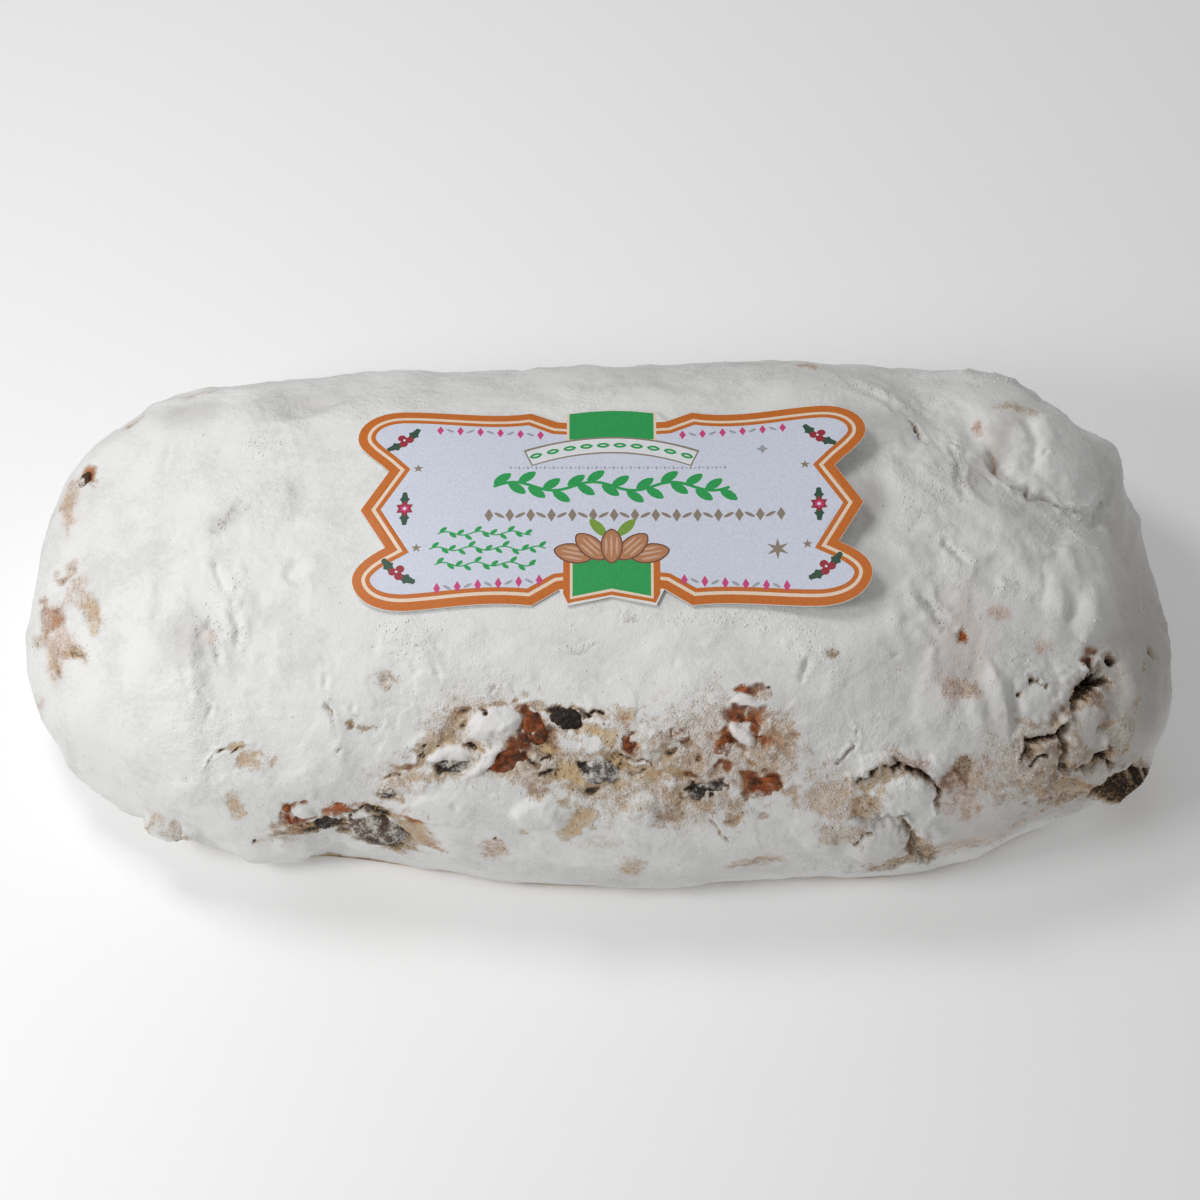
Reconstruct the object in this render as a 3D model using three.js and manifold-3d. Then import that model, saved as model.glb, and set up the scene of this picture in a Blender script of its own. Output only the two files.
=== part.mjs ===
// Stollen: a long oval fruit loaf under a thick coat of icing sugar, with raisins and
// candied peel showing at its skin and a die-cut paper label lying on its crest.
// Millimetres. +X runs along the loaf, -Y is its front, +Z is up, and the origin is the
// middle of its flat underside.
//
// A place on the skin is given as (x, turn): the point that a ray meets when it leaves the
// loaf's core line at x, square to it, turned by that many degrees from straight up
// towards the front.

import * as THREE from "three";
import { mergeVertices } from "three/addons/utils/BufferGeometryUtils.js";
import Module from "manifold-3d";

const wasm = await Module();
wasm.setup();

// ---- Driving dimensions ----

const LOAF_LENGTH = 280;
const LOAF_WIDTH = 138;
const LOAF_HEIGHT = 70;
const CORE_HEIGHT = 20; // the core line lies at the loaf's widest level
const FULL_DEPTH_BELOW = 36; // how deep the oval would go below the core, were it not flat
const WIDER_TO_RIGHT = 0.04; // share by which the right end is wider, and the left narrower

const END_SQUARENESS = 3.5; // powers of the oval's plan along X and across it
const SIDE_SQUARENESS = 2.7;
const PLAN_POWER = 2.25 / SIDE_SQUARENESS;
const CROWN_POWER = 2.3;

const SKIN_CELLS = { along: 58, across: 26, up: 12 };

const LABEL_CENTRE = { x: 3.2, y: 1 };
const LABEL_HALF = { along: 61, across: 30 };
const LABEL_THICKNESS = 0.4;
const LABEL_GAP = 0.4; // the sugar grains that hold the card off the crust
const LABEL_CURL = 4.5; // how far its right end stands off the loaf
const LABEL_CURL_START = 18;
const LABEL_CELLS = { along: 17, across: 9 };
const LABEL_SETTLED_MARGIN = 13; // the skin turns from smooth to uneven over this width

const RIPPLE = { count: 14, shortest: 24, longest: 75, height: 0.2, seed: 24 };

const FRUIT_CLEARANCE = 0.45;
const FLOOR_SLAB = { along: 400, across: 300, deep: 60 };

// ---- Relief of the skin ----

// Broad swellings and hollows that give the loaf its uneven outline, then the smaller
// lumps of dough and caked sugar.
const SWELLS = [
  { name: "back right shoulder", x: 112, turn: -63, reach: 25, rise: 5 },
  { name: "back left shoulder", x: -112, turn: -60, reach: 28, rise: 3.5 },
  { name: "front belly", x: 10, turn: 95, reach: 20, rise: 2 },
  { name: "flat of the back edge", x: -33, turn: -50, reach: 34, rise: -2.6 },
  { name: "rise of the back edge", x: 46, turn: -50, reach: 15, rise: 2 },
  { name: "dip before the back shoulder", x: 80, turn: -55, reach: 12, rise: -1.6 },
  { name: "drawn in lower left", x: -119, turn: 92, reach: 22, rise: -3.4 },
  { name: "notch in the front", x: -62, turn: 94, reach: 14, rise: -8.5 },
  { name: "run out of the notch", x: -42, turn: 95, reach: 17, rise: -3.6 },
  { name: "shallow dip in the front", x: 48, turn: 95, reach: 15, rise: -2.4 },
  { name: "dip below the cleft", x: 81, turn: 95, reach: 9, rise: -2.4 },
  { name: "hollow at the lower right", x: 109, turn: 95, reach: 15, rise: -6 },
  { name: "lower right corner", x: 131, turn: 92, reach: 12, rise: 2.5 },
  { name: "hollow at the right end", x: 136, turn: -28, reach: 20, rise: -4.4 },
  { name: "right nose", x: 139, turn: 80, reach: 15, rise: 1.8 },
  { name: "left nose", x: -139, turn: 80, reach: 12, rise: 1.2 },
  { name: "crusty lump at the lower left", x: -106, turn: 94, reach: 8, rise: 2.6 },
  { name: "lobe on the back right", x: 110, turn: -36, reach: 11, rise: 2.2 },
  { name: "lobe left of the tear", x: 104, turn: 66, reach: 8, rise: 2.2 },
  { name: "upper lobe beside the tear", x: 116, turn: 62, reach: 7, rise: 1.6 },
  { name: "lower lobe beside the tear", x: 117, turn: 78, reach: 8, rise: 1.8 },
  { name: "upper cake of sugar", x: 71.5, turn: 71, reach: 9, rise: 1.8 },
  { name: "lower cake of sugar", x: 66, turn: 86, reach: 9, rise: 1.6 },
  { name: "round lump in the middle", x: -14, turn: 74, reach: 6.5, rise: 1.8 },
  { name: "oval lump above it", x: -24, turn: 57, reach: 6.5, rise: 1.8 },
  { name: "long lump to the left", x: -36, turn: 65, reach: 6, rise: 1.3 },
  { name: "lump under the peel", x: 10, turn: 73, reach: 6, rise: 1.1 },
  { name: "knob near the left end", x: -72, turn: 19, reach: 5, rise: 1.2 },
  { name: "left finger of dough", x: -97, turn: 30, reach: 13, rise: 1.5 },
  { name: "trough beside the finger", x: -84, turn: 42, reach: 10, rise: -1.3 },
  { name: "right finger of dough", x: 99, turn: 12, reach: 12, rise: 1.4 },
  { name: "trough beside that finger", x: 84, turn: 22, reach: 10, rise: -1.3 },
];

// Folds and tears, sunk into the skin along a path of (x, turn) places.
const CREASES = [
  {
    name: "tear down the right shoulder", reach: 3.4, depth: 3.4,
    path: [[122, 47], [116.5, 51], [112, 56], [109.7, 64], [108, 70]],
  },
  {
    name: "branch to the left of it", reach: 2.6, depth: 1.6,
    path: [[108.7, 61], [103, 62], [99.7, 65]],
  },
  {
    name: "branch under the lobes", reach: 3, depth: 2.4,
    path: [[108.1, 70], [113.4, 72], [118.3, 71], [121.3, 75]],
  },
  {
    name: "undercut at the right foot", reach: 3.6, depth: 3,
    path: [[119.3, 84], [122.9, 81], [126.7, 86], [131.5, 97]],
  },
  {
    name: "fold on the back right", reach: 4.5, depth: 2.6,
    path: [[73.8, -57], [80.8, -42], [96.8, -24], [106.3, -18], [123.7, -19]],
  },
  {
    name: "arc over the cakes of sugar", reach: 2.6, depth: 1.7,
    path: [[60.4, 68], [66.5, 65], [71.4, 66], [78.8, 70], [79.4, 74]],
  },
  {
    name: "cleft in the front", reach: 3.2, depth: 2.2,
    path: [[71.5, 76], [74.2, 84], [76.7, 93]],
  },
  {
    name: "crack at the left", reach: 2.6, depth: 1.4,
    path: [[-89.4, 65], [-84, 62.5], [-79.1, 63]],
  },
  {
    name: "crack over the long lump", reach: 2.6, depth: 1.6,
    path: [[-47.7, 66], [-41.8, 62], [-31.9, 60], [-28.5, 63]],
  },
];

// ---- Fruit ----

// length lies along the loaf before spin turns it about the skin's normal; proud is how far
// the top stands out of the skin. squareness 2 is round, and 4 a diced cube.
const RAISIN = { squareness: 2.1, wrinkle: 0.1, colour: 0x2a1d17, roughness: 0.6 };
const PEEL = { squareness: 3.4, wrinkle: 0.06, colour: 0x9a3f18, roughness: 0.35 };

const RAISINS = [
  { x: -51.8, turn: 83, length: 14.6, width: 10.6, depth: 8.6, spin: -8, proud: 2.6 },
  { x: -64.6, turn: 82, length: 7.6, width: 4.8, depth: 5, spin: 75, proud: 1.5 },
  { x: -7.4, turn: 54, length: 8, width: 5.6, depth: 5, spin: -14, proud: 1.1 },
  { x: -33.6, turn: 64, length: 7.6, width: 4.4, depth: 4.6, spin: 12, proud: 0.9 },
  { x: 0.6, turn: 65, length: 9.6, width: 6.4, depth: 6, spin: -12, proud: 1 },
  { x: 25.8, turn: 69, length: 10, width: 5, depth: 5.4, spin: 6, proud: 1 },
  { x: -49.7, turn: 71, length: 4.6, width: 3.4, depth: 3.4, spin: -6, proud: 0.9 },
  { x: 117.4, turn: 46, length: 6, width: 4.6, depth: 4.4, spin: 65, proud: 1 },
  { x: -124.6, turn: -43, length: 5.4, width: 3.8, depth: 4, spin: 80, proud: 0.9 },
];

const PEELS = [
  { x: -20.6, turn: 63, length: 9.6, width: 5.4, depth: 5, spin: 22, proud: 1 },
  { x: -15, turn: 56, length: 8.4, width: 5.2, depth: 5, spin: 112, proud: 1 },
  { x: 35, turn: 55.5, length: 8.4, width: 4.6, depth: 4.6, spin: -38, proud: 1 },
  { x: 29.2, turn: 59.5, length: 5, width: 4.2, depth: 4, spin: 60, proud: 0.9 },
  { x: 7.4, turn: 58, length: 4.8, width: 3.8, depth: 4, spin: 85, proud: 1 },
  { x: 19.3, turn: 57, length: 4.4, width: 3.4, depth: 3.6, spin: 0, proud: 0.9 },
  { x: 38.9, turn: 68, length: 8, width: 5, depth: 4.8, spin: -8, proud: 1 },
  { x: 33, turn: 48, length: 4.6, width: 3.2, depth: 3.4, spin: 5, proud: 0.7 },
  { x: -73.4, turn: 79.5, length: 7.4, width: 4.2, depth: 4.4, spin: 105, proud: 0.9 },
  { x: -61, turn: 76.5, length: 6.4, width: 3.6, depth: 4, spin: -6, proud: 0.9 },
  { x: 85.5, turn: 35, length: 4.4, width: 3.4, depth: 3.6, spin: 85, proud: 0.8 },
];

// ---- The plain oval ----

const CENTRE = new THREE.Vector3(0, 0, CORE_HEIGHT);

// 1 on the plain oval's surface, less inside it.
function level(point) {
  const halfWidth = (LOAF_WIDTH / 2) * (1 + (WIDER_TO_RIGHT * 2 * point.x) / LOAF_LENGTH);
  const height = point.z - CORE_HEIGHT;
  const reach = height > 0 ? LOAF_HEIGHT - CORE_HEIGHT : FULL_DEPTH_BELOW;
  const along = Math.abs(point.x / (LOAF_LENGTH / 2)) ** END_SQUARENESS;
  const across = Math.abs(point.y / halfWidth) ** SIDE_SQUARENESS;
  return (along + across) ** PLAN_POWER + Math.abs(height / reach) ** CROWN_POWER;
}

// Where the ray from start along direction leaves the plain oval.
function leave(start, direction) {
  let inside = 0;
  let outside = LOAF_LENGTH / direction.length();
  const point = new THREE.Vector3();
  for (let halving = 0; halving < 40; halving += 1) {
    const middle = (inside + outside) / 2;
    point.copy(direction).multiplyScalar(middle).add(start);
    if (level(point) < 1) {
      inside = middle;
    } else {
      outside = middle;
    }
  }
  return point;
}

function normalAt(point) {
  const step = 0.01;
  const slope = ["x", "y", "z"].map((axis) => {
    const ahead = point.clone();
    const behind = point.clone();
    ahead[axis] += step;
    behind[axis] -= step;
    return level(ahead) - level(behind);
  });
  return new THREE.Vector3(...slope).normalize();
}

function ovalPoint(x, turn) {
  const angle = THREE.MathUtils.degToRad(turn);
  const direction = new THREE.Vector3(0, -Math.sin(angle), Math.cos(angle));
  return leave(new THREE.Vector3(x, 0, CORE_HEIGHT), direction);
}

// ---- The uneven skin ----

function seededRandom(seed) {
  let state = seed;
  return () => {
    state = (state * 1664525 + 1013904223) % 2 ** 32;
    return state / 2 ** 32;
  };
}

function makeRipples() {
  const random = seededRandom(RIPPLE.seed);
  return Array.from({ length: RIPPLE.count }, () => {
    const wavelength = RIPPLE.shortest + (RIPPLE.longest - RIPPLE.shortest) * random();
    const direction = new THREE.Vector3(random() - 0.5, random() - 0.5, random() - 0.5);
    direction.setLength((2 * Math.PI) / wavelength);
    return { direction, phase: 2 * Math.PI * random() };
  });
}

const ripples = makeRipples();
const swells = SWELLS.map((swell) => ({ ...swell, centre: ovalPoint(swell.x, swell.turn) }));
const creases = CREASES.map((crease) => ({
  ...crease,
  points: crease.path.map(([x, turn]) => ovalPoint(x, turn)),
}));

const bell = (ratio) => Math.exp(-ratio * ratio);

function distanceToPath(point, points) {
  const nearest = new THREE.Vector3();
  const distances = points.slice(1).map((end, index) => {
    new THREE.Line3(points[index], end).closestPointToPoint(point, true, nearest);
    return point.distanceTo(nearest);
  });
  return Math.min(...distances);
}

// 0 under the label, which presses the sugar smooth, and 1 away from it.
function awayFromLabel(point) {
  const along = Math.max(Math.abs(point.x - LABEL_CENTRE.x) - LABEL_HALF.along, 0);
  const across = Math.max(Math.abs(point.y - LABEL_CENTRE.y) - LABEL_HALF.across, 0);
  return THREE.MathUtils.smoothstep(Math.hypot(along, across), 0, LABEL_SETTLED_MARGIN);
}

// How far the skin stands out from the plain oval.
function relief(point) {
  let rise = 0;
  for (const { direction, phase } of ripples) {
    rise += RIPPLE.height * Math.sin(direction.dot(point) + phase);
  }
  for (const swell of swells) {
    rise += swell.rise * bell(point.distanceTo(swell.centre) / swell.reach);
  }
  for (const crease of creases) {
    rise -= crease.depth * bell(distanceToPath(point, crease.points) / crease.reach);
  }
  return rise * awayFromLabel(point);
}

// ---- Solids ----

function toSolid(geometry) {
  const bare = geometry.clone();
  bare.deleteAttribute("normal");
  bare.deleteAttribute("uv");
  const merged = mergeVertices(bare, 1e-4);
  return new wasm.Manifold(
    new wasm.Mesh({
      numProp: 3,
      vertProperties: Float32Array.from(merged.attributes.position.array),
      triVerts: Uint32Array.from(merged.index.array),
    }),
  );
}

function toGeometry(solid) {
  const { vertProperties, triVerts } = solid.getMesh();
  const geometry = new THREE.BufferGeometry();
  geometry.setAttribute("position", new THREE.BufferAttribute(vertProperties, 3));
  geometry.setIndex(new THREE.BufferAttribute(triVerts, 1));
  return geometry;
}

function moveVertices(geometry, move) {
  const position = geometry.attributes.position;
  const point = new THREE.Vector3();
  for (let index = 0; index < position.count; index += 1) {
    point.fromBufferAttribute(position, index);
    const moved = move(point.clone());
    position.setXYZ(index, moved.x, moved.y, moved.z);
  }
}

// A box's faces blown outwards on to the oval, then raised or sunk by the relief.
function makeLoafSkin() {
  const height = LOAF_HEIGHT - CORE_HEIGHT + FULL_DEPTH_BELOW;
  const { along, across, up } = SKIN_CELLS;
  const geometry = new THREE.BoxGeometry(LOAF_LENGTH, LOAF_WIDTH, height, along, across, up);
  geometry.translate(0, 0, LOAF_HEIGHT - height / 2);
  moveVertices(geometry, (corner) => {
    const point = leave(CENTRE, corner.sub(CENTRE));
    return point.addScaledVector(normalAt(point), relief(point));
  });
  return toSolid(geometry);
}

function makeFloorSlab() {
  const { along, across, deep } = FLOOR_SLAB;
  const slab = new THREE.BoxGeometry(along, across, deep);
  slab.translate(0, 0, -deep / 2);
  return toSolid(slab);
}

// A wrinkled ball, or a rounded dice when its kind is square, grown by clearance.
function makeFruitGeometry(kind, fruit, clearance) {
  const detail = fruit.length > 9.5 ? 2 : 1;
  const ball = new THREE.IcosahedronGeometry(1, detail);
  const power = kind.squareness;
  const half = new THREE.Vector3(fruit.length, fruit.width, fruit.depth).multiplyScalar(0.5);
  moveVertices(ball, (direction) => {
    const { x, y, z } = direction;
    const norm = (Math.abs(x) ** power + Math.abs(y) ** power + Math.abs(z) ** power) ** (1 / power);
    const fold = Math.sin(5 * x + fruit.x) * Math.sin(4 * y + fruit.turn) + Math.sin(6 * z + 2 * x);
    const swell = (1 + 0.5 * kind.wrinkle * fold) / norm;
    return direction.clone().multiplyScalar(swell).multiply(half).addScaledVector(direction, clearance);
  });
  return ball;
}

// Sits a fruit in the skin: its depth along the skin's normal, its length across that.
function fruitPlacement(fruit) {
  const oval = ovalPoint(fruit.x, fruit.turn);
  const normal = normalAt(oval);
  const sunk = relief(oval) + fruit.proud - fruit.depth / 2;
  const alongLoaf = new THREE.Vector3(1, 0, 0).projectOnPlane(normal).normalize();
  const upSkin = new THREE.Vector3().crossVectors(normal, alongLoaf);
  const turned = new THREE.Matrix4().makeBasis(alongLoaf, upSkin, normal);
  const spin = new THREE.Matrix4().makeRotationZ(THREE.MathUtils.degToRad(fruit.spin));
  return turned.multiply(spin).setPosition(oval.addScaledVector(normal, sunk));
}

function makePocket(kind, fruit) {
  const geometry = makeFruitGeometry(kind, fruit, FRUIT_CLEARANCE);
  geometry.applyMatrix4(fruitPlacement(fruit));
  return toSolid(geometry);
}

// One half of the card's outline, from the middle of its top edge round the right to the
// middle of its bottom edge, about the card's own centre.
function makeHalfOutline() {
  const outline = new THREE.Path();
  outline.moveTo(0, 30.2);
  outline.quadraticCurveTo(6, 30.2, 10.6, 29); // arched tab
  outline.lineTo(13, 25.6);
  outline.lineTo(19.3, 28.9);
  outline.bezierCurveTo(29, 26.4, 40, 29.8, 50, 29.8); // waved upper edge
  outline.bezierCurveTo(58.5, 29.8, 63, 22.5, 59.6, 17.4); // upper ear
  outline.bezierCurveTo(57.6, 14.4, 55, 12.6, 53, 10);
  outline.lineTo(59.5, -1.2); // side point
  outline.lineTo(53.4, -12);
  outline.bezierCurveTo(57, -14, 62.6, -17.6, 60.6, -22.6); // lower ear
  outline.bezierCurveTo(58.9, -27, 54, -28.9, 48, -28.7);
  outline.bezierCurveTo(38, -28.2, 30, -26.4, 18.8, -27.6); // waved lower edge
  outline.lineTo(12.3, -23.6);
  outline.lineTo(10.4, -27.6); // swallow-tailed lower tab
  outline.lineTo(0, -25.4);
  return outline.getPoints(6);
}

function makeLabelCutter() {
  const right = makeHalfOutline();
  const left = right.slice(1, -1).reverse().map(({ x, y }) => new THREE.Vector2(-x, y));
  const shape = new THREE.Shape([...right, ...left]);
  const cutter = new THREE.ExtrudeGeometry(shape, { depth: LOAF_HEIGHT, bevelEnabled: false });
  cutter.translate(LABEL_CENTRE.x, LABEL_CENTRE.y, CORE_HEIGHT);
  return toSolid(cutter);
}

function crestHeight(x, y) {
  const share = 1 - level(new THREE.Vector3(x, y, CORE_HEIGHT));
  const rise = Math.max(share, 0) ** (1 / CROWN_POWER);
  return CORE_HEIGHT + (LOAF_HEIGHT - CORE_HEIGHT) * rise;
}

// The card follows the crest, and its right end curls up off it.
function makeLabelSheet() {
  const margin = 2;
  const sheet = new THREE.BoxGeometry(
    2 * (LABEL_HALF.along + margin), 2 * (LABEL_HALF.across + margin), LABEL_THICKNESS,
    LABEL_CELLS.along, LABEL_CELLS.across, 1,
  );
  sheet.translate(LABEL_CENTRE.x, LABEL_CENTRE.y, LABEL_THICKNESS / 2 + LABEL_GAP);
  const curlLength = LABEL_CENTRE.x + LABEL_HALF.along - LABEL_CURL_START;
  moveVertices(sheet, (point) => {
    const past = Math.max(point.x - LABEL_CURL_START, 0) / curlLength;
    point.z += crestHeight(point.x, point.y) + LABEL_CURL * past ** 2;
    return point;
  });
  return toSolid(sheet);
}

// ---- Named parts ----

function makeMesh(name, geometry, colour, roughness) {
  const material = new THREE.MeshStandardMaterial({ color: colour, roughness, metalness: 0 });
  const mesh = new THREE.Mesh(geometry, material);
  mesh.name = name;
  return mesh;
}

function makeFruitMeshes(prefix, kind, fruits) {
  return fruits.map((fruit, index) => {
    const name = `${prefix}_${String(index + 1).padStart(2, "0")}`;
    const geometry = makeFruitGeometry(kind, fruit, 0);
    const mesh = makeMesh(name, geometry, kind.colour, kind.roughness);
    fruitPlacement(fruit).decompose(mesh.position, mesh.quaternion, mesh.scale);
    return mesh;
  });
}

function makeLoaf() {
  let solid = makeLoafSkin().subtract(makeFloorSlab());
  for (const [kind, fruits] of [[RAISIN, RAISINS], [PEEL, PEELS]]) {
    for (const fruit of fruits) {
      solid = solid.subtract(makePocket(kind, fruit));
    }
  }
  return makeMesh("loaf", toGeometry(solid), 0xe6e6e6, 0.95);
}

function makeLabel() {
  const solid = makeLabelSheet().intersect(makeLabelCutter());
  return makeMesh("label", toGeometry(solid), 0xcfd5e2, 0.5);
}

const loaf = makeLoaf();
const stollen = new THREE.Group();
stollen.add(loaf);
stollen.add(...makeFruitMeshes("raisin", RAISIN, RAISINS));
stollen.add(...makeFruitMeshes("candied_peel", PEEL, PEELS));
stollen.add(makeLabel());

// The underside's middle becomes the origin.
loaf.geometry.computeBoundingBox();
const middle = loaf.geometry.boundingBox.getCenter(new THREE.Vector3());
stollen.position.set(-middle.x, -middle.y, 0);

export default stollen;
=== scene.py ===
import math

import bmesh
import bpy
import numpy as np
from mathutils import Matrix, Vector, noise
from mathutils.bvhtree import BVHTree
from mathutils.geometry import delaunay_2d_cdt


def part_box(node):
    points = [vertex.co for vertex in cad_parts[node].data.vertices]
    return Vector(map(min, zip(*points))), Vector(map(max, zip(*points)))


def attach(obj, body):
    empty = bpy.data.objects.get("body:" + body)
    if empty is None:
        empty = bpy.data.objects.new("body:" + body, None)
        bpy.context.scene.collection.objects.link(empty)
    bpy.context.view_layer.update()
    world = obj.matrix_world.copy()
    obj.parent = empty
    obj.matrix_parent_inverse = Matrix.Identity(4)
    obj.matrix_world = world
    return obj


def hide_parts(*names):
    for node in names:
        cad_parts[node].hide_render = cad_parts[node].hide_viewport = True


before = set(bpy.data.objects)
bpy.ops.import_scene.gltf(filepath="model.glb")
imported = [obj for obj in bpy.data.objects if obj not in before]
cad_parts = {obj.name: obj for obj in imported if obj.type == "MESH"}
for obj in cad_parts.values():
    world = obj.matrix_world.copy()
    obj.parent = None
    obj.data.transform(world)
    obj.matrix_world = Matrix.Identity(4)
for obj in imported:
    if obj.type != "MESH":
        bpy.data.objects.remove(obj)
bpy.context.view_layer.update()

MM = 0.001
BODY = "root"

# ---- The loaf's core line, found from the card that lies on it ----

CORE_HEIGHT = 20.0
CARD_CENTRE = (3.2, 1.0)  # from the core line's middle
CARD_TOP = 30.2  # from the card's centre to the top of its tab

card_low, card_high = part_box("label")
core = np.array([
    (card_low.x + card_high.x) / 2 / MM - CARD_CENTRE[0],
    card_high.y / MM - CARD_CENTRE[1] - CARD_TOP,
    CORE_HEIGHT,
])

FRUIT = sorted(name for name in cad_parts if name.startswith(("raisin", "candied_peel")))


def smooth_step(low, high, value):
    """0 below low, 1 above high, and a soft S between; low may be the greater."""
    t = np.clip((value - low) / (high - low), 0.0, 1.0)
    return t * t * (3.0 - 2.0 * t)


def bell(value, width):
    return np.exp(-((value / width) ** 2))


def uneven(points, wavelength, octaves=1, seed=0):
    """Smooth seeded noise, mostly within 0.7 of 0, for points in millimetres."""
    moved = points / wavelength + 17.3 * (seed + 1)
    return np.array([noise.fractal(p, 1.0, 2.0, octaves) for p in moved.tolist()])


# ---- The bare skin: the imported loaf, smoothed, with the fruit's pockets closed ----

SKIN_HALF = (140.0, 69.0)
SKIN_TOP = 70.0
CELLS_ALONG = 160
CELLS_ACROSS = 70
CELLS_UP_WALL = 29
RIM_HEIGHT = 0.4
SMOOTHING_ROUNDS = 26
POCKET_ROUNDS = 240
POCKET_MARGIN = 1.1
UNDERSIDE_RINGS = (0.95, 0.86, 0.72, 0.52, 0.28)
OUTSIDE = 250.0  # mm from the core's middle, beyond the loaf
OUTSIDE_OF_CORE = 150.0  # mm from the core line, beyond the loaf
OVER_CARD = 120.0  # mm over the floor
FLOOR_MARGIN = 0.001  # mm
UNDERSIDE_MARGIN = 0.01


def packed_tree(name):
    """The node's faces as a tree for rays, in millimetres."""
    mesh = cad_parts[name].data
    corners = [v.co / MM for v in mesh.vertices]
    return BVHTree.FromPolygons(corners, [p.vertices[:] for p in mesh.polygons])


def outer_loop():
    """Column and row of each top-grid vertex on its border, anticlockwise from above."""
    front = [(i, 0) for i in range(CELLS_ALONG)]
    right = [(CELLS_ALONG, j) for j in range(CELLS_ACROSS)]
    back = [(i, CELLS_ACROSS) for i in range(CELLS_ALONG, 0, -1)]
    left = [(0, j) for j in range(CELLS_ACROSS, 0, -1)]
    return front + right + back + left


def grid_faces():
    """Quads of the top grid, of the wall under its border, and of the underside."""
    def top(i, j):
        return i * (CELLS_ACROSS + 1) + j

    faces = [
        (top(i, j), top(i + 1, j), top(i + 1, j + 1), top(i, j + 1))
        for i in range(CELLS_ALONG)
        for j in range(CELLS_ACROSS)
    ]
    loop = [top(i, j) for i, j in outer_loop()]
    start = (CELLS_ALONG + 1) * (CELLS_ACROSS + 1)
    rows = [loop]
    for _ in range(CELLS_UP_WALL + len(UNDERSIDE_RINGS)):
        rows.append(list(range(start, start + len(loop))))
        start += len(loop)
    for upper, lower in zip(rows, rows[1:]):
        for a in range(len(loop)):
            b = (a + 1) % len(loop)
            faces.append((lower[a], lower[b], upper[b], upper[a]))
    centre = start
    last = rows[-1]
    faces += [(last[(a + 1) % len(last)], last[a], centre) for a in range(len(last))]
    return faces, rows[CELLS_UP_WALL]


def cast_skin():
    """Points where rays from the core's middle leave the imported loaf."""
    tree = packed_tree("loaf")
    middle = Vector(core)

    def leave(target):
        ray = (Vector(target) - middle).normalized()
        hit = tree.ray_cast(middle + ray * OUTSIDE, -ray)[0]
        return hit if hit is not None else Vector(target)

    xs = np.linspace(-SKIN_HALF[0], SKIN_HALF[0], CELLS_ALONG + 1) + core[0]
    ys = np.linspace(-SKIN_HALF[1], SKIN_HALF[1], CELLS_ACROSS + 1) + core[1]
    points = [leave((x, y, SKIN_TOP)) for x in xs for y in ys]
    edge = [Vector((xs[i], ys[j], SKIN_TOP)) for i, j in outer_loop()]
    rim = []
    for corner in edge:
        ray = Vector((corner.x - core[0], corner.y - core[1], 0)).normalized()
        start = Vector((core[0], core[1], RIM_HEIGHT)) + ray * OUTSIDE
        hit = tree.ray_cast(start, -ray)[0]
        rim.append(Vector((hit.x, hit.y, 0)))
    for row in range(1, CELLS_UP_WALL):
        share = row / CELLS_UP_WALL
        points += [leave(e.lerp(r, share)) for e, r in zip(edge, rim)]
    points += rim
    floor_middle = Vector((core[0], core[1], 0))
    for size in UNDERSIDE_RINGS:
        points += [floor_middle.lerp(r, size) for r in rim]
    points.append(floor_middle)
    return np.array([tuple(p) for p in points])


def near_fruit(name, points, margin):
    """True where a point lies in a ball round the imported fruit, larger by the margin in mm."""
    low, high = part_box(name)
    centre = np.array((low + high) / 2) / MM
    return np.linalg.norm(points - centre, axis=1) < max(high - low) / 2 / MM + margin


def in_pockets(points):
    """True where a point lies in or beside a fruit's pocket."""
    held = np.zeros(len(points), bool)
    for name in FRUIT:
        held |= near_fruit(name, points, POCKET_MARGIN)
    return held


def relax(points, edges, moving, rounds, share):
    """Moves each moving point a share of the way to its neighbours' mean, again and again."""
    both = np.concatenate([edges, edges[:, ::-1]])
    count = np.maximum(np.bincount(both[:, 0], minlength=len(points)), 1)
    for _ in range(rounds):
        means = np.stack([
            np.bincount(both[:, 0], weights=points[both[:, 1], axis], minlength=len(points))
            for axis in range(3)
        ], axis=1) / count[:, None]
        points[moving] += share * (means[moving] - points[moving])
    return points


def edges_of(faces):
    pairs = {
        (min(a, b), max(a, b))
        for face in faces
        for a, b in zip(face, face[1:] + face[:1])
    }
    return np.array(sorted(pairs))


def make_bare_skin():
    faces, rim = grid_faces()
    points = cast_skin()
    edges = edges_of(faces)
    above = points[:, 2] > FLOOR_MARGIN
    above[rim] = False
    points = relax(points, edges, in_pockets(points) & above, POCKET_ROUNDS, 1.0)
    points = relax(points, edges, above, SMOOTHING_ROUNDS, 0.5)
    return points, faces


bare_points, bare_faces = make_bare_skin()
bare_tree = BVHTree.FromPolygons([Vector(p) for p in bare_points], bare_faces)


class Place:
    """A place on the bare skin, with the directions along the loaf and up the skin."""

    def __init__(self, x, turn):
        angle = math.radians(turn)
        ray = Vector((0, -math.sin(angle), math.cos(angle)))
        start = Vector(core) + Vector((x, 0, 0)) + ray * OUTSIDE_OF_CORE
        hit, normal, _, _ = bare_tree.ray_cast(start, -ray)
        self.point = np.array(hit)
        self.normal = np.array(normal)
        along = Vector((1, 0, 0)) - normal * normal.x
        self.along = np.array(along.normalized())
        self.up = np.cross(self.normal, self.along)

    def oval(self, points, length, height, spin):
        """How far out each point is in an oval here, 1 at its edge, and its mm off the skin."""
        away = points - self.point
        u = away @ self.along
        v = away @ self.up
        c, s = math.cos(math.radians(spin)), math.sin(math.radians(spin))
        along = 2 * (c * u + s * v) / length
        up = 2 * (c * v - s * u) / height
        return np.sqrt(along ** 2 + up ** 2), np.abs(away @ self.normal)


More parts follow.
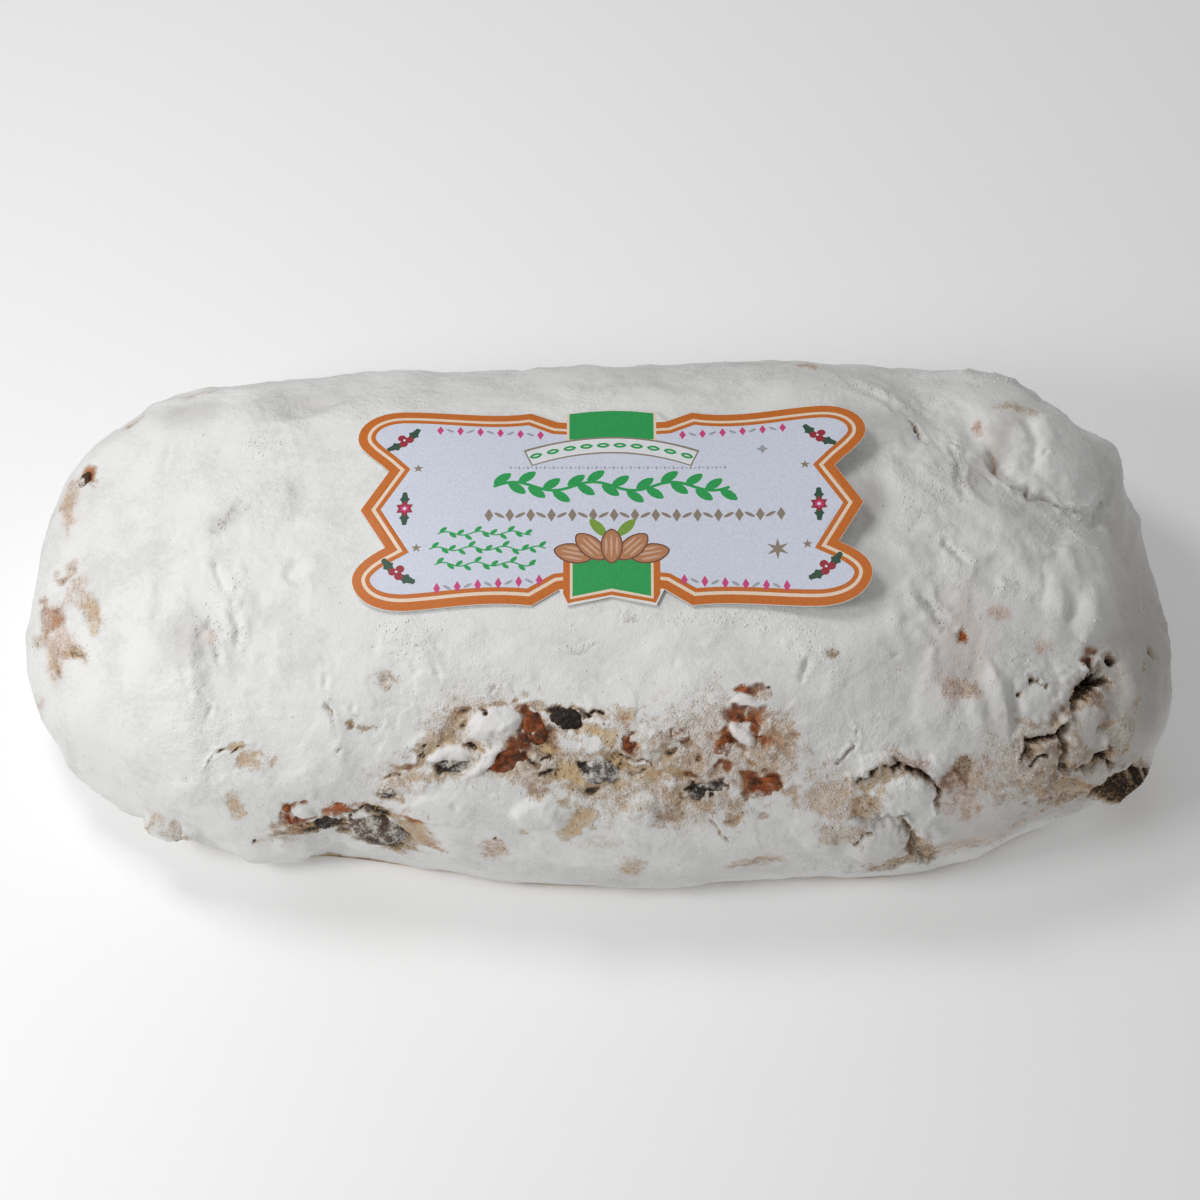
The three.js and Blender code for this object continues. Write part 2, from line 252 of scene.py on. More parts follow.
# ---- Where the skin is fine: the front, where the sugar is broken, and both shoulders ----

FINE_ZONES = (
    ((-98.0, 36.0), (137.0, 101.0)),
    ((70.0, -48.0), (137.0, 36.0)),
    ((-112.0, -12.0), (-66.0, 36.0)),
)


FINEST_ZONES = (
    ((-52.0, 46.0), (48.0, 82.0)),
    ((96.0, 42.0), (126.0, 88.0)),
    ((56.0, 60.0), (82.0, 94.0)),
    ((-78.0, 74.0), (-40.0, 92.0)),
    ((-93.0, 59.0), (-75.0, 68.0)),
    ((92.0, -32.0), (118.0, -14.0)),
)


def turn_of(points):
    away = points - core
    return np.degrees(np.arctan2(-away[:, 1], away[:, 2]))


def split_faces(bm, zones):
    """Splits every face that lies in one of the zones into four."""
    bm.faces.ensure_lookup_table()
    centres = np.array([f.calc_center_median() for f in bm.faces])
    x = centres[:, 0] - core[0]
    turn = turn_of(centres)
    inside = np.zeros(len(centres), bool)
    for low, high in zones:
        inside |= (x > low[0]) & (x < high[0]) & (turn > low[1]) & (turn < high[1])
    inside &= centres[:, 2] > 0.5
    edges = {e for f, chosen in zip(bm.faces, inside) if chosen for e in f.edges}
    bmesh.ops.subdivide_edges(bm, edges=list(edges), cuts=1, use_grid_fill=True)


def make_fine_skin():
    mesh = bpy.data.meshes.new("sugar_coat")
    mesh.from_pydata([tuple(p) for p in bare_points], [], bare_faces)
    bm = bmesh.new()
    bm.from_mesh(mesh)
    split_faces(bm, FINE_ZONES)
    split_faces(bm, FINEST_ZONES)
    bm.normal_update()
    bm.to_mesh(mesh)
    bm.free()
    return mesh


# ---- Broken sugar, tears, creases and lumps ----

# x, turn, length along and height up the skin, spin, and how far it stands out, in mm and degrees
LUMPS = {
    "round lump": (-13.9, 74, 12.6, 9.4, 0, 2),
    "oval lump above": (-24, 54.9, 12.6, 7.2, 18, 2),
    "long lump": (-34.4, 62.2, 12.6, 3.6, 10, 1.5),
    "tail of the long lump": (-27.1, 63.2, 13, 3.6, 46, 1.4),
    "lump under the peel": (10, 73, 9.6, 8, 0, 1),
    "wide lump at the foot": (-38, 75, 17, 10, 0, 0.9),
    "white beside the raisin": (-1.6, 59.6, 6, 3.6, -10, 0.8),
    "white over the wedge": (12.6, 58.2, 9, 5.6, -10, 0.8),
    "white in the orange arc": (33.7, 57.7, 8.4, 3.6, -42, 1.3),
    "white over the arc": (35, 51, 7, 2.6, -8, 0.8),
    "white in the left ring": (-68.8, 77.5, 5, 4, 10, 0.9),
    "dimple left of the card": (-71, 18.6, 6, 6.6, 0, -1.4),
    "its right rim": (-67, 18, 5, 6, 0, 0.6),
    "upper cake": (71.3, 71.4, 17, 9, 0, 2),
    "right cake": (78.6, 83, 8, 13, 10, 0.9),
    "lower cake": (66, 85, 13, 13, 20, 1.7),
    "left cake": (52.4, 83, 10, 9, 0, 1.1),
    "lobe above the tear": (104, 54, 11, 9, 0, 1.2),
    "lobe left of the tear": (105, 65, 9, 6, 25, 1.2),
    "long lobe in the tear": (115, 62, 7.6, 19, -24, 1.8),
    "lobe right of the tear": (121.6, 68, 9, 13, -20, 1.5),
    "nose": (127, 52, 10, 16, -10, 1),
    "lowest lobe": (117.5, 77.6, 12, 7, 6, 1.9),
    "small lobe": (103.5, 70, 8, 6, 30, 1.3),
    "back lobe": (111, -35, 24, 21, -8, 2),
    "small back lobe": (99.4, -33, 10, 15, 14, 0.5),
    "dent beyond the back lobe": (132.5, -70, 16, 26, 0, -2.6),
    "dent below it": (134, -30, 14, 40, 0, -1.6),
    "back edge": (92, -62, 26, 9, 0, 1),
    "top right lump": (81, -20, 9, 17, 10, 0.6),
    "flat by the card": (76, 8, 13, 20, 0, 0.5),
    "soft facet": (96, -3, 20, 9, -12, 0.8),
    "hollow under the facet": (96, 19, 15, 11, 0, -0.9),
    "inner finger": (109.6, 20, 9, 24, -8, 1.1),
    "outer finger": (115.6, 31, 6, 17, -8, 1),
    "below the peel dot": (93, 51, 13, 20, -16, 1),
    "left of it": (79, 50, 11, 22, -10, 0.8),
    "left finger": (-97, 40, 9, 30, 12, 1),
    "middle left finger": (-108, 28, 9, 34, 8, 0.9),
    "outer left finger": (-118, 48, 8, 26, -6, 0.8),
    "left swell": (-84, 30, 10, 12, 0, 0.8),
    "lower left fold": (-92, 74, 24, 7, 24, 0.7),
    "pink end, white heart": (-126, 32, 3.6, 9, 0, 0.8),
    "crust at the foot": (-103.6, 92.5, 10, 8, 0, 3.4),
    "crust beside it": (-97.5, 91, 8, 5, 0, 2.2),
    "left foot bulge": (-76, 99, 28, 16, 0, 2.2),
    "notch beside it": (-65, 103, 10, 14, 0, -2),
    "notch by the crust": (-95, 96, 7, 12, 0, -1.8),
    "low left swell": (-119, 99, 26, 18, 0, 2.4),
    "notch of the left end": (-137, 66, 8, 12, 0, -1.3),
    "corner at the back right": (117, -63, 26, 32, 0, -3.6),
    "front of the right end": (136.6, 34, 12, 60, 0, 1.6),
    "crust of the right foot": (127, 97, 18, 13, -30, 3),
    "top left of the back": (-117, -60, 16, 20, 0, -1.4),
    "middle of the back": (0, -67, 60, 14, 0, -1.2),
    "dimple by the card": (-70, -42, 14, 9, 30, -1),
}

# path of (x, turn), depth, half width, height of its shoulders: soft valleys in whole sugar
CREASES = {
    "back fold, start": ([(88, -44), (91, -38), (94, -32)], 0.9, 2.2, 0.3),
    "back fold": ([(93, -33.4), (96.9, -26.1), (99.6, -21.4), (103.9, -18.4), (108.2, -16.9),
        (111.6, -16.4)], 2, 1.5, 0.7),
    "back fold, end": ([(111, -16.4), (116.9, -17.4), (119.4, -21), (122, -27)], 1.3, 1.3, 0.6),
    "end of the back lobe": ([(119.4, -22), (121.8, -30.6), (124.2, -38.4), (126.3, -47.9)], 1.3, 1.3, 0.5),
    "between the back lobes": ([(104.9, -42), (104.8, -36.4), (104.4, -27)], 1.3, 1.8, 0.4),
    "thumb mark": ([(85.4, -33), (86.1, -24.3), (86.7, -15.1), (85.9, -6.3)], 1, 0.9, 0.35),
    "nick by the card": ([(74, -40), (75.8, -35.6), (78.6, -28.4)], 1.3, 0.8, 0.2),
    "top fold": ([(80, 5.2), (83.3, 10.7), (88.2, 16.2)], 1.2, 0.9, 0.5),
    "next top fold": ([(74.6, 23), (79, 30.7), (83.8, 36.2)], 1.3, 0.9, 0.5),
    "between the fingers": ([(111.4, 21), (112.9, 35)], 1.2, 1.6, 0.4),
    "over the shoulder raisin": ([(112.8, 36.4), (115.2, 42.4)], 1, 0.6, 0.3),
    "back grooves": ([(60.6, -47.4), (68.8, -43.5), (74, -40)], 0.7, 1.6, 0.4),
    "left of the ridge": ([(87.6, 43.6), (90.4, 52), (92.6, 59)], 0.8, 1.4, 0.2),
    "right of the ridge": ([(96, 47), (97.4, 54), (98.9, 62)], 1.2, 1.4, 0.3),
    "left trough": ([(-112.3, -14), (-110.1, 14), (-109.9, 39)], 0.8, 2.2, 0.4),
    "wrinkle 1": ([(-89.4, 13), (-88.6, 19), (-87.4, 27)], 0.8, 0.8, 0.3),
    "wrinkle 2": ([(-85.8, 24), (-84.1, 34.4), (-86, 43)], 0.8, 0.8, 0.3),
    "wrinkle 3": ([(-90.4, 38), (-88, 45.5)], 0.7, 0.7, 0.3),
    "wrinkle 4": ([(-106, 41), (-101.5, 48.8)], 0.8, 1, 0.3),
    "wrinkle 5": ([(-97.4, 43), (-95.6, 53.1)], 0.7, 0.9, 0.3),
    "wrinkle 6": ([(-92.4, 51), (-90.4, 57)], 0.9, 0.6, 0.3),
    "crescent": ([(-92.8, 35.6), (-90.9, 32.8), (-89, 36.9)], 1, 0.7, 0.3),
    "rough groove": ([(-84.6, -8), (-88, -1.9), (-92.4, 3.9)], 1.1, 0.9, 0.4),
    "scratch": ([(-103.2, -34.6), (-104.5, -27.2)], 0.7, 0.7, 0.2),
    "hairline": ([(-64.1, 41), (-62.7, 52.5), (-61.3, 57.4), (-60.4, 61.2), (-59.2, 67)], 0.8, 0.5, 0.3),
    "upper hairline": ([(-57, 52), (-55, 54.3)], 0.6, 0.4, 0.2),
    "stroke under the card": ([(-41.8, 38.8), (-43.2, 45)], 0.9, 0.6, 0.2),
    "second stroke": ([(-39.8, 40), (-37.8, 46.4)], 0.8, 0.7, 0.2),
    "right stroke": ([(48.9, 41), (47.5, 46.4)], 1.3, 0.7, 0.2),
    "foot wave": ([(-30, 88), (-10, 91), (10, 94)], 0.7, 2.6, 0.3),
}

# path of (x, turn), height and half width: soft ridges and the edges of facets
RIDGES = {
    "facet's upper edge": ([(94, 11.5), (101.4, 10.9), (107.6, 9), (114, 3)], 0.8, 1.7),
    "edge of the right end": ([(113.6, -10), (115.4, 2), (117, 14), (118.6, 26), (120.6, 40)], 3.2, 7),
    "crest of that edge": ([(116.4, -6), (117.8, 2), (119.5, 14), (121.1, 26), (122.4, 40)], 0.9, 2),
    "edge beside the tear": ([(124, 46), (125.4, 56), (125, 66), (124, 76)], 2, 4),
    "below the card's corner": ([(65.6, 23), (69, 32), (72, 38.4)], 0.9, 1.8),
    "second of them": ([(73.8, 34), (77.5, 40.2), (79, 47), (81, 52)], 0.8, 1.5),
    "long ridge": ([(90, 40.4), (92.6, 47), (94.8, 53), (96.6, 58.6)], 1, 1.4),
    "beside the top fold": ([(87.2, 11.6), (90.6, 14.8)], 0.7, 0.9),
    "left of the crescent": ([(-94, 30), (-95, 38), (-94, 46)], 0.6, 1.8),
    "shoulder of the left end": ([(-118, -12), (-117, 10), (-117.6, 34)], 0.6, 3),
}

# x, turn, length, height, spin, and how crumbly the whole sugar is there
CRUMBLY = {
    "end of the back fold": (115, -15, 13, 8, -14, 1),
    "below the back fold": (114, -6, 10, 10, -10, 0.6),
    "past the back lobe": (121.6, -31, 5, 17, 20, 0.9),
    "back edge": (101, -62, 28, 8, 0, 1),
    "back grooves": (72, -46, 26, 7, -10, 0.6),
    "thumb mark": (86.3, -21, 2.6, 18, 0, 0.9),
    "nick by the card": (76.4, -34, 3, 11, 20, 0.7),
    "top fold": (84, 11, 9, 3, -46, 0.8),
    "next top fold": (79, 30, 11, 2.6, -52, 0.8),
    "pitted, right": (96, 22, 8, 5, 0, 0.7),
    "pitted, by the card": (74, -4, 10, 13, 0, 0.4),
    "rough groove": (-88, -2, 11, 4, 50, 0.8),
    "left crumble": (-80.6, -28, 9, 8, 0, 0.8),
    "by the crescent": (-90.8, 36, 9, 10, 0, 0.7),
    "left wrinkles": (-87, 28, 8, 22, 0, 0.5),
    "under the card, left": (-44.6, 36, 12, 9, 0, 0.7),
    "dot under the card": (7.4, 31.7, 4.6, 4, 0, 1),
    "under the card, middle": (-4, 38.6, 11, 2.6, 10, 0.6),
    "under the card, right": (30, 32, 19, 4, 0, 0.9),
    "right of it": (51, 40, 14, 7, -20, 0.5),
    "foot, right": (60, 92, 30, 8, 0, 0.6),
    "below the tear": (108, 82, 14, 8, -20, 0.7),
}

# x, turn, length, height, spin, and how far the whole sugar is darkened there: painted shade where the right
# end turns from the light, in valleys, creases and round the tears, and the card's painted shadow, partly
# thinner sugar
PAINTED_SHADE_AND_THIN_SUGAR = {
    "right end": (134, 38, 42, 84, 0, 0.65),
    "right end, lower": (131, 66, 24, 34, 0, 0.9),
    "round the tear": (112, 66, 30, 26, -20, 0.45),
    "past the back lobe": (126, -28, 14, 34, 0, 0.5),
    "foot of the right end": (104, 86, 44, 18, -15, 0.65),
    "below the cakes": (62, 86, 44, 18, 0, 0.3),
    "foot of the front": (10, 94, 90, 12, 0, 0.25),
    "dimple by the card": (-70, -44, 26, 12, 0, 0.35),
    "left dimples": (-100, -44, 18, 10, 0, 0.35),
    "left wrinkles": (-96, 38, 16, 14, 0, 0.35),
    "rough groove": (-88, -2, 13, 5, 50, 0.35),
    "back": (20, -52, 120, 22, 0, 0.25),
    "right shoulder": (100, -8, 40, 26, -30, 0.25),
    "left of the back lobe": (96, -31.5, 7.5, 33, -25, 0.75),
    "right end, front": (132, 53, 34, 58, -10, 0.8),
    "past the tear": (123.5, 64.5, 26, 20.5, -35, 0.5),
    "left of the tear": (105, 69, 23.5, 17.5, -20, 0.5),
    "under the tear": (115, 79.5, 32, 14, -30, 0.75),
    "right of the front": (75, 49, 40, 30.5, 0, 0.3),
    "round the peel dot": (85, 40.5, 10.5, 29, 0, 0.4),
    "right of the card": (76.5, 30, 18.5, 20.5, -20, 0.2),
    "above the left branch": (94, 57, 14.5, 23.5, 0, 0.3),
    # painted shadow cast by the card's right end
    "card's painted shadow": (65.5, -4.5, 6, 22, -5, 0.5),
}

# path of (x, turn), depth, half width, height of the lip above it, in mm, and how burnt: how dark the
# crack's core is painted, dark crust with painted shade deep in the crack
TEARS = {
    "arch by the glaze": ([(-13.75, 58.75), (-13, 57.75), (-12.25, 57.5), (-11.5, 58.5), (-11, 59.5),
        (-10.5, 60.5), (-9.75, 60.5)], 0.45, 0.6, 0.1, 1),
    "foot of the arch": ([(-14.25, 61.75), (-13.5, 61), (-12.5, 60.75), (-11.5, 61.25)],
        0.45, 0.55, 0.1, 0.9),
    "crackle": ([(-17.75, 63), (-16.75, 62.25), (-16, 63.25), (-15.25, 63), (-14.5, 62)],
        0.45, 0.5, 0.1, 0.9),
    "tail of the sooty raisin": ([(-5.25, 52.25), (-3.5, 52.5), (-2.25, 53.25), (-1.5, 54), (-0.5, 55.5)],
        0.45, 0.6, 0.1, 1),
    "over the amber": ([(-2, 53), (-0.5, 52.5), (1.25, 53)], 0.3, 0.5, 0.1, 0.9),
    "round the amber": ([(0.5, 54.5), (2, 55.5), (3.5, 56.25), (4.5, 57.25), (4.25, 58.75), (3, 60.25)],
        0.3, 0.45, 0.1, 0.7),
    "wedge, top": ([(3, 60.5), (4, 61.5), (6, 61.5), (7.5, 61.5), (9.5, 62.5), (12, 63), (13.5, 64)],
        0.7, 0.35, 0.3, 0.85),
    "wedge, foot": ([(5.25, 65), (7.25, 65), (9.5, 64.75), (11.75, 64.5)], 0.45, 0.5, 0.1, 0.7),
    "left of the middle": ([(-14.5, 65.25), (-13, 64.75), (-11.75, 64.25), (-10, 64.5)],
        0.45, 0.65, 0.1, 0.9),
    "band": ([(-32.5, 53.75), (-31, 53.5), (-30, 53), (-29.25, 52)], 0.45, 0.55, 0.1, 0.7),
    "left arc": ([(-42.5, 62), (-41.5, 60.5), (-40.5, 60), (-39, 60), (-37.5, 61)], 0.65, 0.65, 0.3, 1),
    "left arc, down": ([(-41.75, 61.5), (-41.25, 63), (-41, 64.5)], 0.4, 0.4, 0.2, 0.8),
    "right arc": ([(-32.5, 59), (-31, 59.5), (-29.5, 59.5), (-28, 60.5), (-27.5, 61.5)], 0.6, 0.6, 0.3, 1),
    "black spot": ([(-37, 65.5), (-36, 64.5), (-35, 64), (-33.5, 63.5)], 0.6, 0.6, 0.2, 1),
    "left of the long lump": ([(-49, 67.25), (-47.25, 67), (-46, 66.75), (-45, 66.5)], 0.45, 0.55, 0.1, 0.9),
    "left crack": ([(-92.5, 68), (-91, 66.5), (-89.5, 64.5), (-88, 64), (-86, 63)], 1, 0.35, 0.4, 0.95),
    "left crack, right": ([(-86, 64.5), (-84.5, 63.5), (-83.5, 62.5), (-81.5, 62.5), (-80, 62.5),
        (-79.5, 63)], 0.7, 0.35, 0.3, 0.95),
    "over the big raisin": ([(-59, 79.5), (-57.5, 77), (-55.5, 76), (-53, 76), (-51, 77), (-48.5, 78)],
        0.8, 0.5, 0.3, 1),
    "small stroke": ([(15.75, 61.75), (17, 60.5), (18.5, 59.5)], 0.45, 0.55, 0.1, 0.8),
    "right raisin, left": ([(20.5, 68.5), (22, 67.5), (23, 66.5)], 0.5, 0.55, 0.1, 0.9),
    "right raisin, top": ([(26.5, 68), (28.5, 67.25), (29.75, 66.5), (31.25, 67.75)], 0.45, 0.55, 0.1, 0.9),
    "streak": ([(27.25, 75), (28.5, 77.5), (30.25, 80.75)], 0.4, 0.4, 0.2, 0.6),
    "under the small cube": ([(2.75, 60.5), (3, 62.25), (3.25, 64.75)], 0.45, 0.55, 0.1, 0.8),
    "shoulder tear": ([(118.5, 48), (117, 50.5), (115, 52), (113.5, 53.5), (112.5, 55.5), (111.5, 57),
        (111, 59)], 4.6, 1.3, 1.1, 1),
    "shoulder tear, lower": ([(111, 59), (110, 60.5), (109, 63), (109.5, 65), (108.5, 67), (108, 68.5),
        (109, 70.5), (110.5, 73)], 3, 0.8, 0.9, 0.95),
    "top of the tear": ([(119, 47.5), (120.5, 46.5), (122.5, 47)], 2.2, 0.8, 0.3, 1),
    "dark pocket": ([(116.5, 51.5), (118.5, 52), (120, 54), (121.5, 55)], 2.2, 1, 0.3, 1),
    "left branch": ([(110, 60.5), (108.5, 61), (106.5, 62), (105, 62), (103.5, 62), (102, 62.5),
        (100.5, 62.5), (100, 64), (99, 66)], 2.4, 0.7, 0.8, 0.95),
    "inner branch": ([(101, 68), (102, 67), (103.5, 66.5), (105.5, 66)], 1.2, 0.5, 0.3, 0.9),
    "lower branch": ([(112.5, 72.5), (115, 73), (116.5, 72.5), (117, 71), (118.5, 70.5), (119.5, 71.5),
        (121, 74.5), (122.5, 78.5)], 2.4, 0.8, 0.8, 0.9),
    "under the lowest lobe": ([(115, 79), (118, 80.5), (120, 83.5), (122, 83.5)], 1.2, 0.5, 0.3, 0.7),
    "foot undercut": ([(119.5, 86.5), (121.5, 85.5), (124, 84), (126.5, 85.5), (130, 92), (132.5, 96.5)],
        3.6, 1.2, 1, 1),
    "slit": ([(99.5, 49.5), (101.5, 48.5), (103.5, 48.5), (105, 50)], 0.8, 0.6, 0.4, 1),
    "slit, left": ([(98, 52), (98.5, 51), (100, 49.5)], 0.6, 0.5, 0.2, 0.9),
    "slit, right": ([(104.5, 50.75), (106, 50.25), (106.5, 49.75)], 0.4, 0.35, 0.2, 0.7),
    "over the shoulder raisin": ([(113.5, 38.5), (114.5, 41), (115.5, 43)], 1, 0.4, 0.3, 0.5),
    "under the back lobe": ([(99, -22.5), (101.5, -20), (104, -18.5), (106, -17.5), (108.5, -17),
        (111, -16.5)], 1.7, 0.4, 0.8, 0.35),
    "cake arc": ([(58.5, 68.5), (61, 67.5), (63.5, 66.5), (65, 65.5), (68, 65), (70.5, 65), (73.5, 66),
        (76.5, 67.5), (79, 69.5), (80, 71.5), (79, 75.5), (78, 77)], 2.2, 0.8, 0.8, 0.85),
    "cake arc spur": ([(66.5, 62.5), (68.5, 63.5), (71, 64), (74, 63.5)], 0.9, 0.5, 0.3, 0.6),
    "cake cleft": ([(71, 76), (72, 79), (73.5, 82), (74.5, 86), (76, 91), (77, 95)], 2.8, 1.2, 0.7, 0.55),
    "between the cakes": ([(59.5, 75.5), (63.5, 77), (67.5, 77), (71.5, 76.5)], 1.6, 1.2, 0.4, 0.15),
    "cake crack": ([(60, 82.5), (61.5, 81), (65, 79.5)], 1, 0.5, 0.3, 0.8),
    "right of the middle": ([(59.5, 56), (60, 59), (59, 61.5), (56.5, 63.5), (53.5, 64.5)],
        0.8, 0.4, 0.4, 0.45),
    "hairline": ([(-63.5, 48.5), (-62.5, 53), (-61.5, 57.5), (-60.5, 62.5), (-59, 66.5)],
        0.7, 0.35, 0.2, 0.4),
}

